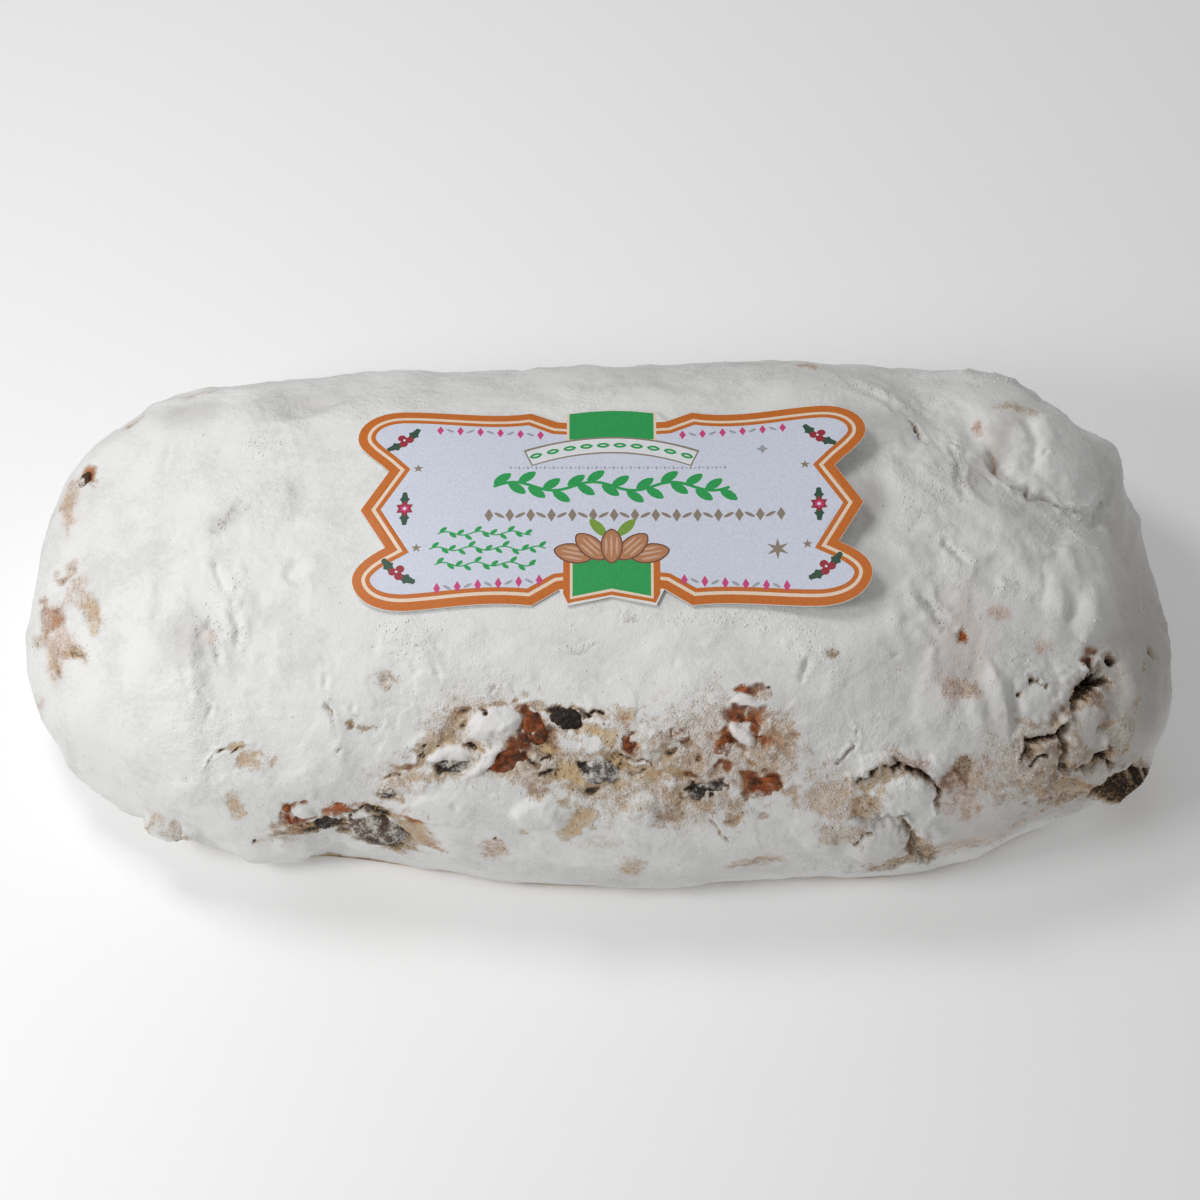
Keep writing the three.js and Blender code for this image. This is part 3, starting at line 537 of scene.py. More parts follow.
# x, turn, length and height in mm, spin, how bare, then how burnt, rusty, damp and amber; a tone
# that a row leaves out is 0
BARE = {
    "glaze": [(-18, 52.5, 3.5, 3.5, 0, 0.95, 0.45, 1), (-15.5, 55.5, 4.5, 5.5, 0, 1, 0.5, 1),
        (-12.5, 56, 5, 4, 0, 0.8, 0.5, 0.6, 0, 0.2), (-16.5, 58.5, 4, 6, 0, 1, 0.6, 1),
        (-20, 60.5, 7, 4.5, 15, 1, 0.3, 1), (-23, 63, 6, 3, 25, 1, 0, 0.85),
        (-14, 51.5, 5.5, 2, -10, 0.4, 0.2, 0.3, 0.2, 0.3), (-10.5, 58, 2.25, 4, 0, 0.5, 0.2, 0.5, 0, 0.4),
        (-12, 59.5, 2.25, 2, 0, 0.65, 0.1, 0, 0, 1), (-17, 62, 2.5, 2.25, 45, 0.75, 0.6, 0.3, 0, 0.2),
        (-11.5, 59, 6, 5, 0, 0.5, 0.45, 0.1, 0, 0.35), (-15.5, 63, 2.75, 1.5, 20, 0.6, 0.6, 0.2, 0, 0.2)],
    "over the oval lump": [(-31, 53.5, 3.5, 1.5, 20, 0.6, 0.4, 0.35, 0.2, 0.2),
        (-33.5, 54.5, 4.5, 3.5, 0, 0.45, 0.3, 0.25, 0.2, 0.3), (-26.5, 52.5, 1.25, 1, 30, 0.9, 0.95),
        (-23, 51, 7, 1.5, 15, 0.35, 0.3, 0.3, 0.3, 0.1), (-20, 50, 1.5, 1, 0, 0.5, 0.4, 0.4),
        (-31.5, 56.5, 1.5, 1.5, 45, 0.7, 0.7, 0.1, 0, 0.1),
        (-35, 58, 4, 5.5, 20, 0.45, 0.25, 0.25, 0.2, 0.35), (-39, 59, 6, 3.5, 0, 0.3, 0.2, 0.2, 0.3, 0.2)],
    "round the long lump": [(-40, 61, 5.5, 2.75, 0, 0.4, 0.4, 0.1, 0.1, 0.2),
        (-42, 63.5, 2, 3.5, -10, 0.5, 0.5, 0.1, 0.1, 0.2), (-30, 60, 5.5, 2, -15, 0.5, 0.5, 0.3, 0.2, 0.1),
        (-35.5, 64.5, 4.5, 2.25, 20, 0.95, 0.95, 0, 0, 0.1), (-37.5, 66, 1.5, 2.25, -5, 0.7, 0.9, 0, 0, 0.2),
        (-35, 65.5, 4.5, 2.5, 0, 0.4, 0.4, 0, 0.1, 0.5), (-44.5, 65, 3.5, 2.25, 0, 0.6, 0.25, 0.7, 0.1, 0.1),
        (-47, 67, 6, 1, 10, 0.5, 0.7, 0, 0, 0.1), (-49.5, 72, 3.5, 2.5, 5, 0.85, 0.55, 0.2, 0, 0.4),
        (-46, 72.5, 1.5, 2.25, -5, 0.45, 0.2, 0.7, 0.2), (-39.5, 67.5, 14.5, 2, 10, 0.2, 0.1, 0, 0.1, 0.3)],
    "sooty raisin": [(-8.5, 53, 4, 2.75, -10, 1, 1), (-6, 54, 3.5, 2.75, -20, 0.95, 1),
        (-5, 55.5, 2.25, 2.25, -10, 0.7, 0.8, 0, 0, 0.1), (-7, 55.5, 4, 2.75, 0, 0.4, 0.7),
        (-3, 53, 5, 2, -20, 0.6, 0.7, 0, 0, 0.1), (-10, 53, 2, 1.5, 0, 0.6, 0.7)],
    "amber beside it": [(-2, 56, 4, 2.25, -20, 0.45, 0.15, 0, 0, 1),
        (0.5, 57, 4, 2.75, -25, 0.45, 0.05, 0, 0, 1), (-5, 56, 2, 1.5, 0, 0.45, 0.3, 0, 0, 0.9),
        (1, 53.5, 2.75, 1.5, 0, 0.35, 0.5, 0, 0, 0.6), (3, 58, 3.5, 5, 0, 0.3, 0.4, 0, 0, 0.7),
        (-0.5, 60.5, 3.5, 1.5, 5, 0.45, 0.3, 0, 0, 0.9)],
    "small cube": [(7, 52.5, 7, 3.5, 0, 0.35, 0.1, 0.1, 0.1, 0.7),
        (5.5, 54.5, 3.5, 3.5, 10, 0.4, 0.15, 0.5, 0.1, 0.4), (7, 58.5, 3, 4, 0, 0.95, 0.05, 0.9, 0, 0.1),
        (9, 59.5, 2.25, 4, 0, 0.45, 0.1, 0.6, 0.2, 0.2), (6.5, 61.5, 1.5, 1.25, 0, 0.4, 0.2, 0.5)],
    "middle": [(-7, 64.5, 6.5, 4, -10, 0.6, 0.25, 0.1, 0, 1),
        (-3.5, 66, 2.75, 3, 0, 0.45, 0.4, 0.1, 0.1, 0.8), (-10, 65, 2.75, 2, 0, 0.5, 0.6, 0, 0, 0.4),
        (-12.5, 64.5, 4.5, 1.5, 15, 0.6, 0.8), (-11.5, 66.5, 7, 2, 15, 0.3, 0.5, 0, 0.1, 0.1),
        (-3, 63.5, 2.75, 2.5, -25, 0.9, 0.85, 0.5), (0, 63.5, 2, 2.25, 0, 0.85, 0.8, 0.5),
        (-1, 66, 3.5, 4, 0, 0.55, 0.5, 0.3, 0.6, 0.1), (-1, 68, 4, 2, 10, 0.7, 0.85),
        (3, 63.5, 2, 5.5, 0, 0.65, 0.6, 0.1, 0, 0.4), (4.5, 63.5, 2.25, 5, -10, 0.85, 0.6, 0.1, 0, 0.5),
        (3.5, 67, 3, 2, 0, 0.65, 0.05, 0.15, 0, 1), (2, 66, 2, 2, 0, 0.45, 0.5, 0, 0, 0.7),
        (6, 62.5, 4.5, 2, -20, 0.4, 0.3, 0, 0, 0.6), (11.5, 64, 6.5, 2.25, -15, 0.45, 0.4, 0.05, 0, 0.6),
        (8, 63.5, 6, 4, -10, 0.5, 0.5, 0, 0, 0.5), (9, 65.5, 8.5, 1.5, 0, 0.4, 0.4, 0, 0, 0.6),
        (-9, 62.5, 7, 2.5, 20, 0.25, 0.35, 0, 0.1, 0.3), (-4.5, 67.5, 9.5, 3, 0, 0.3, 0.4, 0, 0.1, 0.2),
        (-17.5, 67, 6.5, 3.5, -25, 0.35, 0.1, 0.2, 0.5, 0.2),
        (-14.5, 68.5, 5, 4, 0, 0.35, 0.15, 0.25, 0.5, 0.2)],
    "beside the round lump": [(-5, 76, 8, 5.5, 15, 0.5, 0.1, 0.15, 0.05, 0.85),
        (-3.5, 73.5, 6, 4, 0, 0.45, 0.15, 0.1, 0.05, 0.7), (-7, 78, 8, 2.5, 15, 0.45, 0.1, 0.1, 0, 0.8),
        (3.5, 74, 5, 8, 0, 0.25, 0.15, 0.05, 0.1, 0.5), (-8, 71.5, 2, 3, 40, 0.4, 0.45, 0, 0, 0.3),
        (-17.5, 79.5, 2.75, 1.75, 0, 0.45, 0.35, 0.05, 0, 0.5),
        (0, 81, 14.5, 4.5, 5, 0.2, 0, 0.1, 0.1, 0.8)],
    "orange arc": [(33, 53, 5, 3.5, -10, 0.8, 0.1, 1), (36.5, 53.5, 4.5, 4, 0, 0.75, 0.1, 1),
        (30.5, 53.5, 3.5, 3.5, 0, 0.4, 0.1, 0.7, 0.2), (37, 56.5, 2.25, 4, -15, 0.75, 0.1, 1),
        (38, 59, 2.25, 2.75, 0, 0.7, 0.15, 0.95), (39.5, 59.5, 2.75, 3.5, 0, 0.4, 0.2, 0.7, 0.1),
        (41.5, 58, 6.5, 8.5, 0, 0.45, 0.25, 0.45, 0.1, 0.3), (30, 57.5, 3.5, 4, 0, 0.9, 0.35, 0.85),
        (28.5, 60, 2, 1.5, -5, 0.75, 0.1, 1), (26.5, 58, 3.5, 2, 0, 0.35, 0.15, 0.5, 0.3, 0.1),
        (33.5, 60.5, 4, 1.25, -30, 0.5, 0.2, 0.7, 0.2), (36, 62, 3.5, 1.5, -30, 0.5, 0.3, 0.6, 0.2),
        (34, 48, 2.75, 2, -10, 0.8, 0.15, 0.9), (35.5, 48, 2, 1.5, 0, 0.5, 0.4, 0.6),
        (37.5, 46.5, 4, 2, 15, 0.6, 0.3, 0.7, 0.1), (40, 47, 1.25, 1, 0, 0.7, 0.9, 0.1),
        (38.5, 48.5, 4.5, 3.5, 0, 0.3, 0.3, 0.4, 0.2)],
    "small peel": [(18.5, 57, 2.75, 2.5, 0, 0.8, 0.1, 0.95), (20, 58.5, 2, 2, -5, 0.7, 0.35, 0.8),
        (16, 57.5, 5, 2.5, 0, 0.3, 0.1, 0.4, 0.4), (21.5, 59.5, 2.75, 2.5, 0, 0.4, 0.15, 0.5, 0.4),
        (23.5, 62.5, 1.5, 1, 0, 0.75, 0.6, 0.5), (28, 63.5, 2.25, 1.5, 10, 0.7, 0.15, 0.9),
        (30, 64, 2, 1.75, 0, 0.8, 0.2, 0.95), (22, 65, 2.75, 1.25, -25, 0.85, 0.5, 0.6, 0, 0.3),
        (20.5, 64.5, 2.25, 1.25, 0, 0.5, 0.3, 0.5), (27, 65, 3.5, 1, 20, 0.4, 0.5, 0.1, 0, 0.3),
        (17, 60.5, 1.25, 2.75, -45, 0.7, 0.6, 0.3, 0, 0.2), (15.5, 62.5, 2, 2, 0, 0.4, 0.3, 0.3, 0.2, 0.1),
        (17, 64.5, 6.5, 4.5, 0, 0.4, 0.25, 0.2, 0.3, 0.4), (21, 63, 7, 4, 0, 0.3, 0.1, 0.3, 0.7, 0.1)],
    "right raisin": [(22, 67.5, 2, 3, 10, 0.95, 0.9, 0.2), (24, 68, 3.5, 3.5, 15, 0.7, 0.85),
        (28.5, 67, 3.5, 1.25, 15, 0.75, 0.8), (27, 67.5, 2.75, 2, 0, 0.5, 0.7),
        (24.5, 71, 3.5, 6, 0, 0.35, 0.5, 0, 0, 0.3), (23, 70, 3.5, 3, 0, 0.45, 0.6, 0, 0, 0.2),
        (26.5, 70.5, 2.25, 4.5, 0, 0.35, 0.45, 0, 0, 0.3), (28.5, 77.5, 1, 6, 25, 0.55, 0.4, 0.1, 0, 0.3),
        (32.5, 72.5, 5, 7, 0, 0.35, 0.35, 0.15, 0.2, 0.2), (32, 75.5, 3.5, 1.75, 0, 0.4, 0.25, 0.5, 0.2),
        (40, 74.5, 3.5, 2, 10, 0.4, 0.2, 0.6, 0.2), (17.5, 72, 5, 9, 0, 0.4, 0.3, 0.2, 0.3, 0.3),
        (15, 75, 4, 5, 0, 0.3, 0.2, 0.1, 0.2, 0.4), (19.5, 70.5, 2.75, 4.5, 15, 0.5, 0.6, 0.05, 0.1, 0.2)],
    "big peel": [(38, 67.5, 6.5, 5, 10, 0.85, 0.35, 0.95), (41, 68, 2.75, 3, 0, 0.7, 0.25, 0.9),
        (34.5, 65.5, 3.5, 2.5, -20, 0.85, 0.15, 1), (34.5, 69, 2, 2, 0, 0.7, 0.3, 0.8),
        (35, 70.5, 1.25, 1.25, 0, 0.5, 0.2, 0.7), (40, 65, 2.5, 1.25, 25, 0.45, 0.3, 0.6)],
    "left end": [(-131, 1.5, 4.5, 2.5, -40, 0.4, 0.15, 0.5, 0.4),
        (-129, 10, 1.75, 4.5, 30, 0.75, 0.7, 0.4, 0.3), (-129, 18.5, 4, 2, -35, 0.85, 0.8, 0.4),
        (-127, 4.5, 6, 3.5, -40, 0.35, 0.1, 0.4, 0.3, 0.3), (-125.5, 3, 1.75, 3.5, 20, 0.35, 0.2, 0.3, 0.5),
        (-124.5, 15, 8.5, 5.5, -35, 0.35, 0.15, 0.4, 0.3, 0.3),
        (-126, 23.5, 6, 2.5, -25, 0.35, 0.4, 0.1, 0.3, 0.1),
        (-121, 23.5, 5, 3.5, -30, 0.4, 0.1, 0.4, 0.1, 0.7),
        (-119, 31.5, 2.75, 7.5, 10, 0.45, 0, 0.6, 0.1, 0.9),
        (-120.5, 33.5, 2.5, 4, 10, 0.4, 0.3, 0.1, 0, 0.8),
        (-121.5, 28, 2.75, 4, 40, 0.45, 0.2, 0.3, 0.2, 0.4), (-134, 16.5, 5, 2.75, -25, 0.5, 0.3, 0.4, 0.6),
        (-132, 30.5, 10.5, 5, -35, 0.5, 0.1, 0.6, 0.6), (-130, 28.5, 3.5, 5.5, 30, 0.5, 0.15, 0.6, 0.6),
        (-133.5, 40, 6, 4.5, -15, 0.4, 0.05, 0.6, 0.3, 0.6), (-130.5, 46, 6.5, 10, 10, 0.3, 0.05, 0.25, 1),
        (-130.5, 54, 5.5, 5.5, 25, 0.4, 0.1, 0.4, 0.7), (-129, 52, 2.5, 3.5, 0, 0.5, 0.35, 0.4, 0.4),
        (-129.5, 58, 2.5, 4, 0, 0.35, 0.1, 0.5, 0.7), (-128, 43, 5, 6.5, 30, 0.25, 0.05, 0.2, 1),
        (-125, 44, 6, 3.5, -15, 0.4, 0.45, 0.1, 0.2, 0.1), (-126, 46, 4.5, 1.5, 5, 0.6, 0.6, 0.2),
        (-123.5, 45, 2.5, 1.5, -15, 0.6, 0.6, 0.3), (-122, 47.5, 2.25, 3.5, 5, 0.35, 0.2, 0.2, 0.6),
        (-136.5, 49, 5, 2.5, -15, 0.7, 0.7, 0.2, 0.3), (-135, 81.5, 1.5, 12, -35, 0.3, 0.05, 0.3, 0.6, 0.3)],
    "left crack": [(-84, 63, 7.5, 2, 15, 0.4, 0.3, 0.1, 0.1, 0.5),
        (-84.5, 62, 5.5, 2.5, 15, 0.4, 0, 0.1, 0.1, 0.9), (-81.5, 65.5, 4.5, 4, -30, 0.5, 0, 0.4, 0.1, 0.8),
        (-83, 67, 3, 3, -25, 0.4, 0.1, 0.2, 0.1, 0.5), (-76.5, 65, 2.5, 3, -10, 0.4, 0, 0.15, 0.2, 0.9),
        (-79, 64, 2.5, 2, 10, 0.35, 0, 0.2, 0.1, 0.9), (-86, 74, 2.75, 3.5, -20, 0.35, 0, 0.15, 0.1, 0.9),
        (-86.5, 77, 2.5, 4.5, -20, 0.45, 0.1, 0.05, 0, 0.9),
        (-85, 79.5, 3.5, 5, -20, 0.4, 0.05, 0.05, 0, 0.8)],
    "left ring": [(-72.5, 77.5, 3, 5.5, 5, 0.85, 0.2, 0.9), (-73.5, 79, 3.5, 3, 45, 0.6, 0.3, 0.7),
        (-71, 75, 4.5, 2, 40, 0.6, 0.15, 0.9), (-68.5, 74.5, 1.25, 1.5, -15, 0.85, 0.3, 0.9),
        (-70, 80.5, 6.5, 3, 25, 0.95, 0.2, 1), (-72.5, 82.5, 4, 5, -35, 0.7, 0.35, 0.6, 0, 0.2),
        (-64.5, 78, 2.5, 3.5, -15, 0.8, 0.15, 0.9), (-61, 77.5, 5, 2.5, 10, 0.75, 0, 1, 0, 0.1),
        (-60, 76, 4, 2.5, 5, 0.55, 0, 0.9, 0.2), (-62.5, 75.5, 4.5, 3, 5, 0.3, 0, 0.6, 0.4),
        (-71, 85.5, 5.5, 7, -30, 0.8, 0.5, 0.4, 0, 0.3), (-66.5, 87, 7, 5, 35, 1, 0.95, 0, 0, 0.1),
        (-62, 85.5, 5, 6, -40, 0.85, 0.75, 0.1, 0, 0.2), (-69, 83.5, 3.5, 4, 25, 0.55, 0.5, 0.1, 0, 0.6),
        (-76, 83.5, 3, 6.5, -5, 0.35, 0.5, 0, 0, 0.1), (-81.5, 91, 1.25, 2.25, -25, 0.5, 0.7),
        (-65, 83, 4, 7.5, -15, 0.9, 0.9), (-61, 82, 2.75, 6.5, -5, 0.7, 0.35, 0.35, 0, 0.5),
        (-58, 77.5, 2, 1.75, 40, 0.7, 0.6, 0.4), (-57, 86, 6, 4, 0, 0.7, 0.65, 0.1, 0, 0.2),
        (-53, 91.5, 14, 7, 0, 0.85, 0.7, 0.1, 0, 0.2)],
    "big raisin": [(-53.5, 76, 8, 2.5, -10, 0.75, 0.7, 0.3), (-50, 77, 7, 1.5, -30, 0.8, 0.8, 0.2),
        (-58.5, 85.5, 2.75, 4, -15, 0.8, 0.5, 0.2, 0, 0.5), (-46, 83.5, 2, 9, 0, 0.55, 0.5, 0.1, 0, 0.6),
        (-55, 74.5, 4.5, 1.75, 5, 0.35, 0.3, 0.5, 0.3), (-43.5, 78, 6, 2.5, -25, 0.8, 0, 0.95, 0.1),
        (-43, 82.5, 4.5, 10.5, -10, 0.45, 0, 0.4, 0.1, 0.8),
        (-47.5, 85.5, 5, 6, -25, 0.8, 0.5, 0.15, 0, 0.5), (-40, 85.5, 3.5, 5.5, 30, 0.35, 0, 0.4, 0.6, 0.4),
        (-37.5, 87.5, 3, 5, 40, 0.4, 0, 0.6, 0.3, 0.3), (-48, 77, 3, 1.25, -30, 0.4, 0.2, 0.5)],
    "left foot": [(-105, 88.5, 5.5, 3.5, 30, 0.4, 0.05, 0.3, 0.1, 0.9),
        (-106, 93.5, 2, 8.5, -10, 0.5, 0.3, 0.3, 0.2, 0.3),
        (-102, 89.5, 2.75, 5.5, -45, 0.5, 0.6, 0.1, 0, 0.4),
        (-99, 91.5, 6.5, 2.5, 35, 0.3, 0.2, 0.1, 0.1, 0.3)],
    "right end": [(116, 45.5, 4, 3.5, 25, 1, 0.3, 0.95), (117, 42.5, 3, 2.5, 20, 0.7, 0.3, 0.6, 0.3),
        (121, 47, 4.5, 1.5, 10, 0.9, 0.95), (117.5, 52, 6.5, 2.5, 5, 0.9, 1),
        (113.5, 56, 3.5, 6, -40, 0.85, 0.75, 0, 0, 0.3), (115.5, 53, 5, 3, 40, 0.85, 0.9, 0, 0, 0.1),
        (116.5, 55, 4.5, 4, 0, 0.5, 0.6, 0, 0, 0.2), (117, 56.5, 4, 5.5, -5, 0.25, 0.4, 0, 0, 0.2),
        (111.5, 54, 3.5, 2.5, 10, 0.4, 0.2, 0.4, 0.4), (110, 57.5, 5, 2.5, 0, 0.35, 0.25, 0.4, 0.4),
        (106, 59, 7, 2.5, 10, 0.35, 0.3, 0.4, 0.2, 0.1), (101, 58.5, 5, 2.75, 0, 0.25, 0.3, 0.2, 0.2, 0.2),
        (103.5, 64, 6.5, 3, 5, 0.3, 0.35, 0.2, 0.1, 0.2), (100.5, 65, 2.5, 2.25, -35, 0.55, 0.6, 0.3),
        (109, 66, 1.5, 3.5, 25, 0.5, 0.7), (108.5, 70, 4, 2, -30, 0.85, 1),
        (120.5, 63.5, 7, 1.25, 0, 0.4, 0.3, 0.4, 0.1, 0.1), (119.5, 70, 4.5, 1.5, -20, 0.55, 0.45, 0.5),
        (118.5, 71.5, 4.5, 2, -15, 0.8, 0.8, 0.3), (124, 72, 2, 4.5, 10, 0.4, 0.3, 0.5, 0.3),
        (127, 61, 2, 4, -30, 0.35, 0.25, 0.5, 0.3), (128.5, 51.5, 3, 2, 15, 0.6, 0.4, 0.6, 0.2),
        (130, 86, 1.5, 9.5, 45, 0.45, 0.4, 0.4), (126.5, 95, 8.5, 37.5, 25, 1, 0.8, 0.05),
        (122.5, 91.5, 14, 4.5, -45, 0.7, 0.7, 0, 0, 0.1), (120, 83.5, 7.5, 2.25, -30, 0.85, 0.9),
        (114.5, 83.5, 18, 5.5, -20, 0.3, 0.1, 0.25, 0.4, 0.3),
        (104.5, 85.5, 12.5, 4.5, 0, 0.25, 0.1, 0.25, 0.4, 0.3)],
    "cakes": [(55.5, 70.5, 18, 12, 0, 0.4, 0.15, 0.15, 0.3, 0.6), (63, 73, 7, 10, 10, 0.5, 0.5, 0.1, 0, 0.5),
        (67, 67, 11, 3.5, 10, 0.5, 0.5, 0.1, 0, 0.4), (71.5, 64, 12, 4.5, -10, 0.35, 0.4, 0.4, 0.5, 0.1),
        (57, 80, 12, 6, 0, 0.35, 0.4, 0, 0.1, 0.4), (76.5, 87, 6.5, 15, 15, 0.55, 0.4, 0.2, 0.2, 0.2),
        (70, 93, 13, 7, 0, 0.45, 0.5, 0.1, 0.1, 0.2), (86, 72, 12, 14, 0, 0.3, 0.1, 0.3, 0.7, 0.2),
        (85.5, 66, 5, 5.5, 0, 0.5, 0.6, 0, 0, 0.4), (83, 69, 7.5, 5, 0, 0.45, 0.3, 0.6, 0.3, 0.2),
        (86.5, 79, 3.5, 3.5, 0, 0.4, 0, 0.4, 0.3, 0.6), (86, 90, 26, 7, 0, 0.25, 0.05, 0.3, 0.5, 0.3)],
    "foot of the front": [(7.5, 88.5, 6, 9, 0, 0.45, 0.05, 0.4, 0.1, 0.8),
        (-25, 86, 6, 9.5, 0, 0.4, 0.3, 0.2, 0.5, 0.1), (38, 88.5, 14, 5.5, 0, 0.4, 0.35, 0.2, 0.3, 0.3)],
    "left back": [(-124.5, -43, 4, 6, 20, 0.9, 0.05, 0.8, 0.2, 0.4),
        (-128.5, -37, 6, 14, 0, 0.35, 0.05, 0.2, 0.8, 0.3), (-114, -56, 7, 4, 0, 0.4, 0.4, 0.2, 0.5, 0.2),
        (-98, -55, 9, 5, 0, 0.25, 0.1, 0, 0.2, 0.5), (-129, -36, 3, 14, 0, 0.3, 0.1, 0.1, 0.4, 0.6)],
    "single marks": [(102, -45, 11, 3.5, -5, 0.35, 0.4, 0.2, 0.3, 0.2),
        (92.5, -38.5, 3, 5.5, 15, 0.4, 0.1, 0.5, 0.6), (-49, 46.5, 6, 3.5, 0, 0.35, 0.5, 0, 0.1),
        (-90.5, 37, 4, 3.5, 0, 0.15, 0.3, 0, 0.6, 0.2), (-57.5, 55.5, 2.25, 1.75, 20, 0.8, 0.6, 0.4, 0, 0.3),
        (-54.5, 56.5, 3.5, 1, -15, 0.5, 0.5, 0.2, 0, 0.2), (84, 49.5, 10, 6, -15, 0.35, 0.35, 0.2, 0.9),
        (94, 30, 5, 3.5, 0, 0.2, 0.1, 0.2, 1, 0.2), (104, 40, 5, 3, 0, 0.2, 0.1, 0.2, 1, 0.1),
        (54.5, 40.5, 4, 2.5, 0, 0.5, 0.5, 0.1, 0.1, 0.3), (76, -35.5, 1.5, 5, 20, 0.6, 0.8),
        (51.5, -52.5, 5, 4, 0, 0.4, 0.35, 0, 0.9), (96, -27.5, 2, 6, 30, 0.35, 0.3, 0.3, 0.8),
        (85.5, 36.5, 3, 3.5, 0, 0.95, 0.05, 0.9, 0.1, 0.1),
        (85.5, 37.5, 1.5, 2.5, 0, 0.4, 0.05, 0.4, 0.2, 0.5)],
    "dusting": [(-31.5, 55, 22.5, 12, 25, 0.3, 0.3, 0.1, 0.1, 0.3),
        (-30, 63.5, 39.5, 10.5, 10, 0.25, 0.25, 0.1, 0.1, 0.4),
        (-12.5, 60.5, 21, 17, 0, 0.25, 0.45, 0.05, 0.05, 0.3),
        (5, 65, 28, 15, 0, 0.25, 0.35, 0.05, 0.1, 0.4), (-2, 68.5, 21, 8, 0, 0.2, 0.4, 0, 0.1, 0.3),
        (28.5, 59.5, 28, 23.5, -25, 0.3, 0.3, 0.3, 0.2, 0.2),
        (21, 70.5, 21, 16, 0, 0.25, 0.4, 0.05, 0.15, 0.2), (41, 61.5, 14, 19, 0, 0.25, 0.2, 0.3, 0.3, 0.2),
        (-46, 83.5, 12, 19, -5, 0.4, 0.1, 0.3, 0.2, 0.6), (-46.5, 69, 14, 10.5, 10, 0.2, 0.2, 0.1, 0.1, 0.5),
        (5, 57, 14, 14, 0, 0.2, 0.2, 0.15, 0.1, 0.4),
        (103.5, 68.5, 29.5, 20.5, -10, 0.3, 0.4, 0.1, 0.1, 0.1),
        (118.5, 66, 23, 26.5, 15, 0.25, 0.4, 0.1, 0.1, 0.1),
        (112.5, 79, 28, 12, -25, 0.35, 0.35, 0.15, 0.2, 0.1), (86, 38, 12, 22, -5, 0.1, 0.05, 0.3, 0.4, 0.2),
        (-69, 86.5, 22, 9, 15, 0.3, 0.4, 0.2, 0.1, 0.3)],
}

# x, turn, length and height in mm, spin, and how surely the sugar is whole there
WHOLE = [
    (-24, 55, 11.5, 6.5, 20, 1), (-27, 63.5, 3, 13, -40, 1), (-34.5, 62, 11.5, 3, 10, 0.9),
    (-13.5, 74.5, 12, 8.5, 0, 1), (-1.5, 58.5, 3.5, 2.75, -10, 1), (-6.5, 59, 5, 2.75, 0, 0.7),
    (33.5, 57.5, 8, 3.5, -40, 1), (34.5, 50.5, 6, 2, -10, 0.9), (-68.5, 77, 6.5, 4, 15, 0.95),
    (9.5, 63, 6, 1.25, -15, 0.8), (-122, 39, 8, 3, -15, 0.6), (116, 63.5, 5.5, 12, 30, 0.6),
    (117.5, 76, 14.5, 4.5, -25, 0.8), (105, 54, 9, 4.5, 0, 0.6),
]

# (x, turn), radius and depth in mm of single holes, and how dark they are
HOLES = {
    "hole in the nose": ((132.4, 49), 1.2, 2.6, 1),
    "hole at the tear's top": ((121.4, 47.2), 1.1, 2.2, 1),
    "speck over the oval lump": ((-26.3, 53), 0.6, 0.6, 1),
    "low speck": ((-24.4, 82), 0.5, 0.6, 1),
    "left speck": ((-81.8, 91), 0.5, 0.5, 1),
    "dark of the left end": ((-128.6, 15), 0.7, 0.6, 0.5),
    "second dark of it": ((-124.8, 45), 0.7, 0.6, 0.45),
    "pit by the card's middle": ((7.4, 31.7), 1.3, 1, 0.35),
    "pit under the card": ((-45.4, 34.4), 1.1, 0.9, 0.2),
    "second pit": ((-44.4, 36.8), 0.8, 0.7, 0.2),
    "third pit": ((-37.7, 38.4), 0.9, 0.8, 0.2),
    "left pit": ((-52.2, 38.8), 0.8, 0.6, 0.2),
    "lower left pit": ((-49.8, 46.2), 1, 0.8, 0.3),
    "right pit": ((34.9, 33.1), 1.1, 0.8, 0.2),
}

# grey holds painted shade as well as thinner sugar; burnt also paints shade into the cracks' cores
TONES = ("bare", "burnt", "rust", "damp", "amber", "crumbly", "grey")
PROUD = ("raisin_01", "raisin_02")  # these stand out of the sugar

# sizes in mm
SUGAR_DEPTH = 0.45
SEAT_DEPTH = (0.35, 1.0)  # under fruit that lies in the sugar, and under fruit that stands out
THIN_TEAR = 0.75  # a tear of less half width is a clear dark line with a faint halo
PRESSED_HALF = (61.0, 30.0)  # where the card presses the sugar flat
FINE = 1.5  # wavelength of the finest unevenness
MIDDLING = 3.6
BROAD = 13.0
WIDE_BEND = 6.0  # wavelength of the bends in the marks' outlines
WIDE_SHAKE = 1.5  # how far these bends take them
SMALL_BEND = 2.0
SMALL_SHAKE = 0.55
MARK_DEPTH = 12.0  # a mark has no effect further over or under its place
GREY_DEPTH = 20.0
WHOLE_DEPTH = 8.0
TURN_REACH = 52.0  # of skin for each radian of turn
PIT_REACH = 134  # of the stray pits, from the core line's middle
PIT_RADII = (0.35, 0.9)

PIT_TURNS = (-95, 98)
STRAY_PITS = 170
STREAK_SLANT = -0.9  # of the folds at the right, in mm along for each mm towards the front
BARE_EDGE = (0.34, 0.74)  # how bare the skin is where the sugar's edge begins and ends


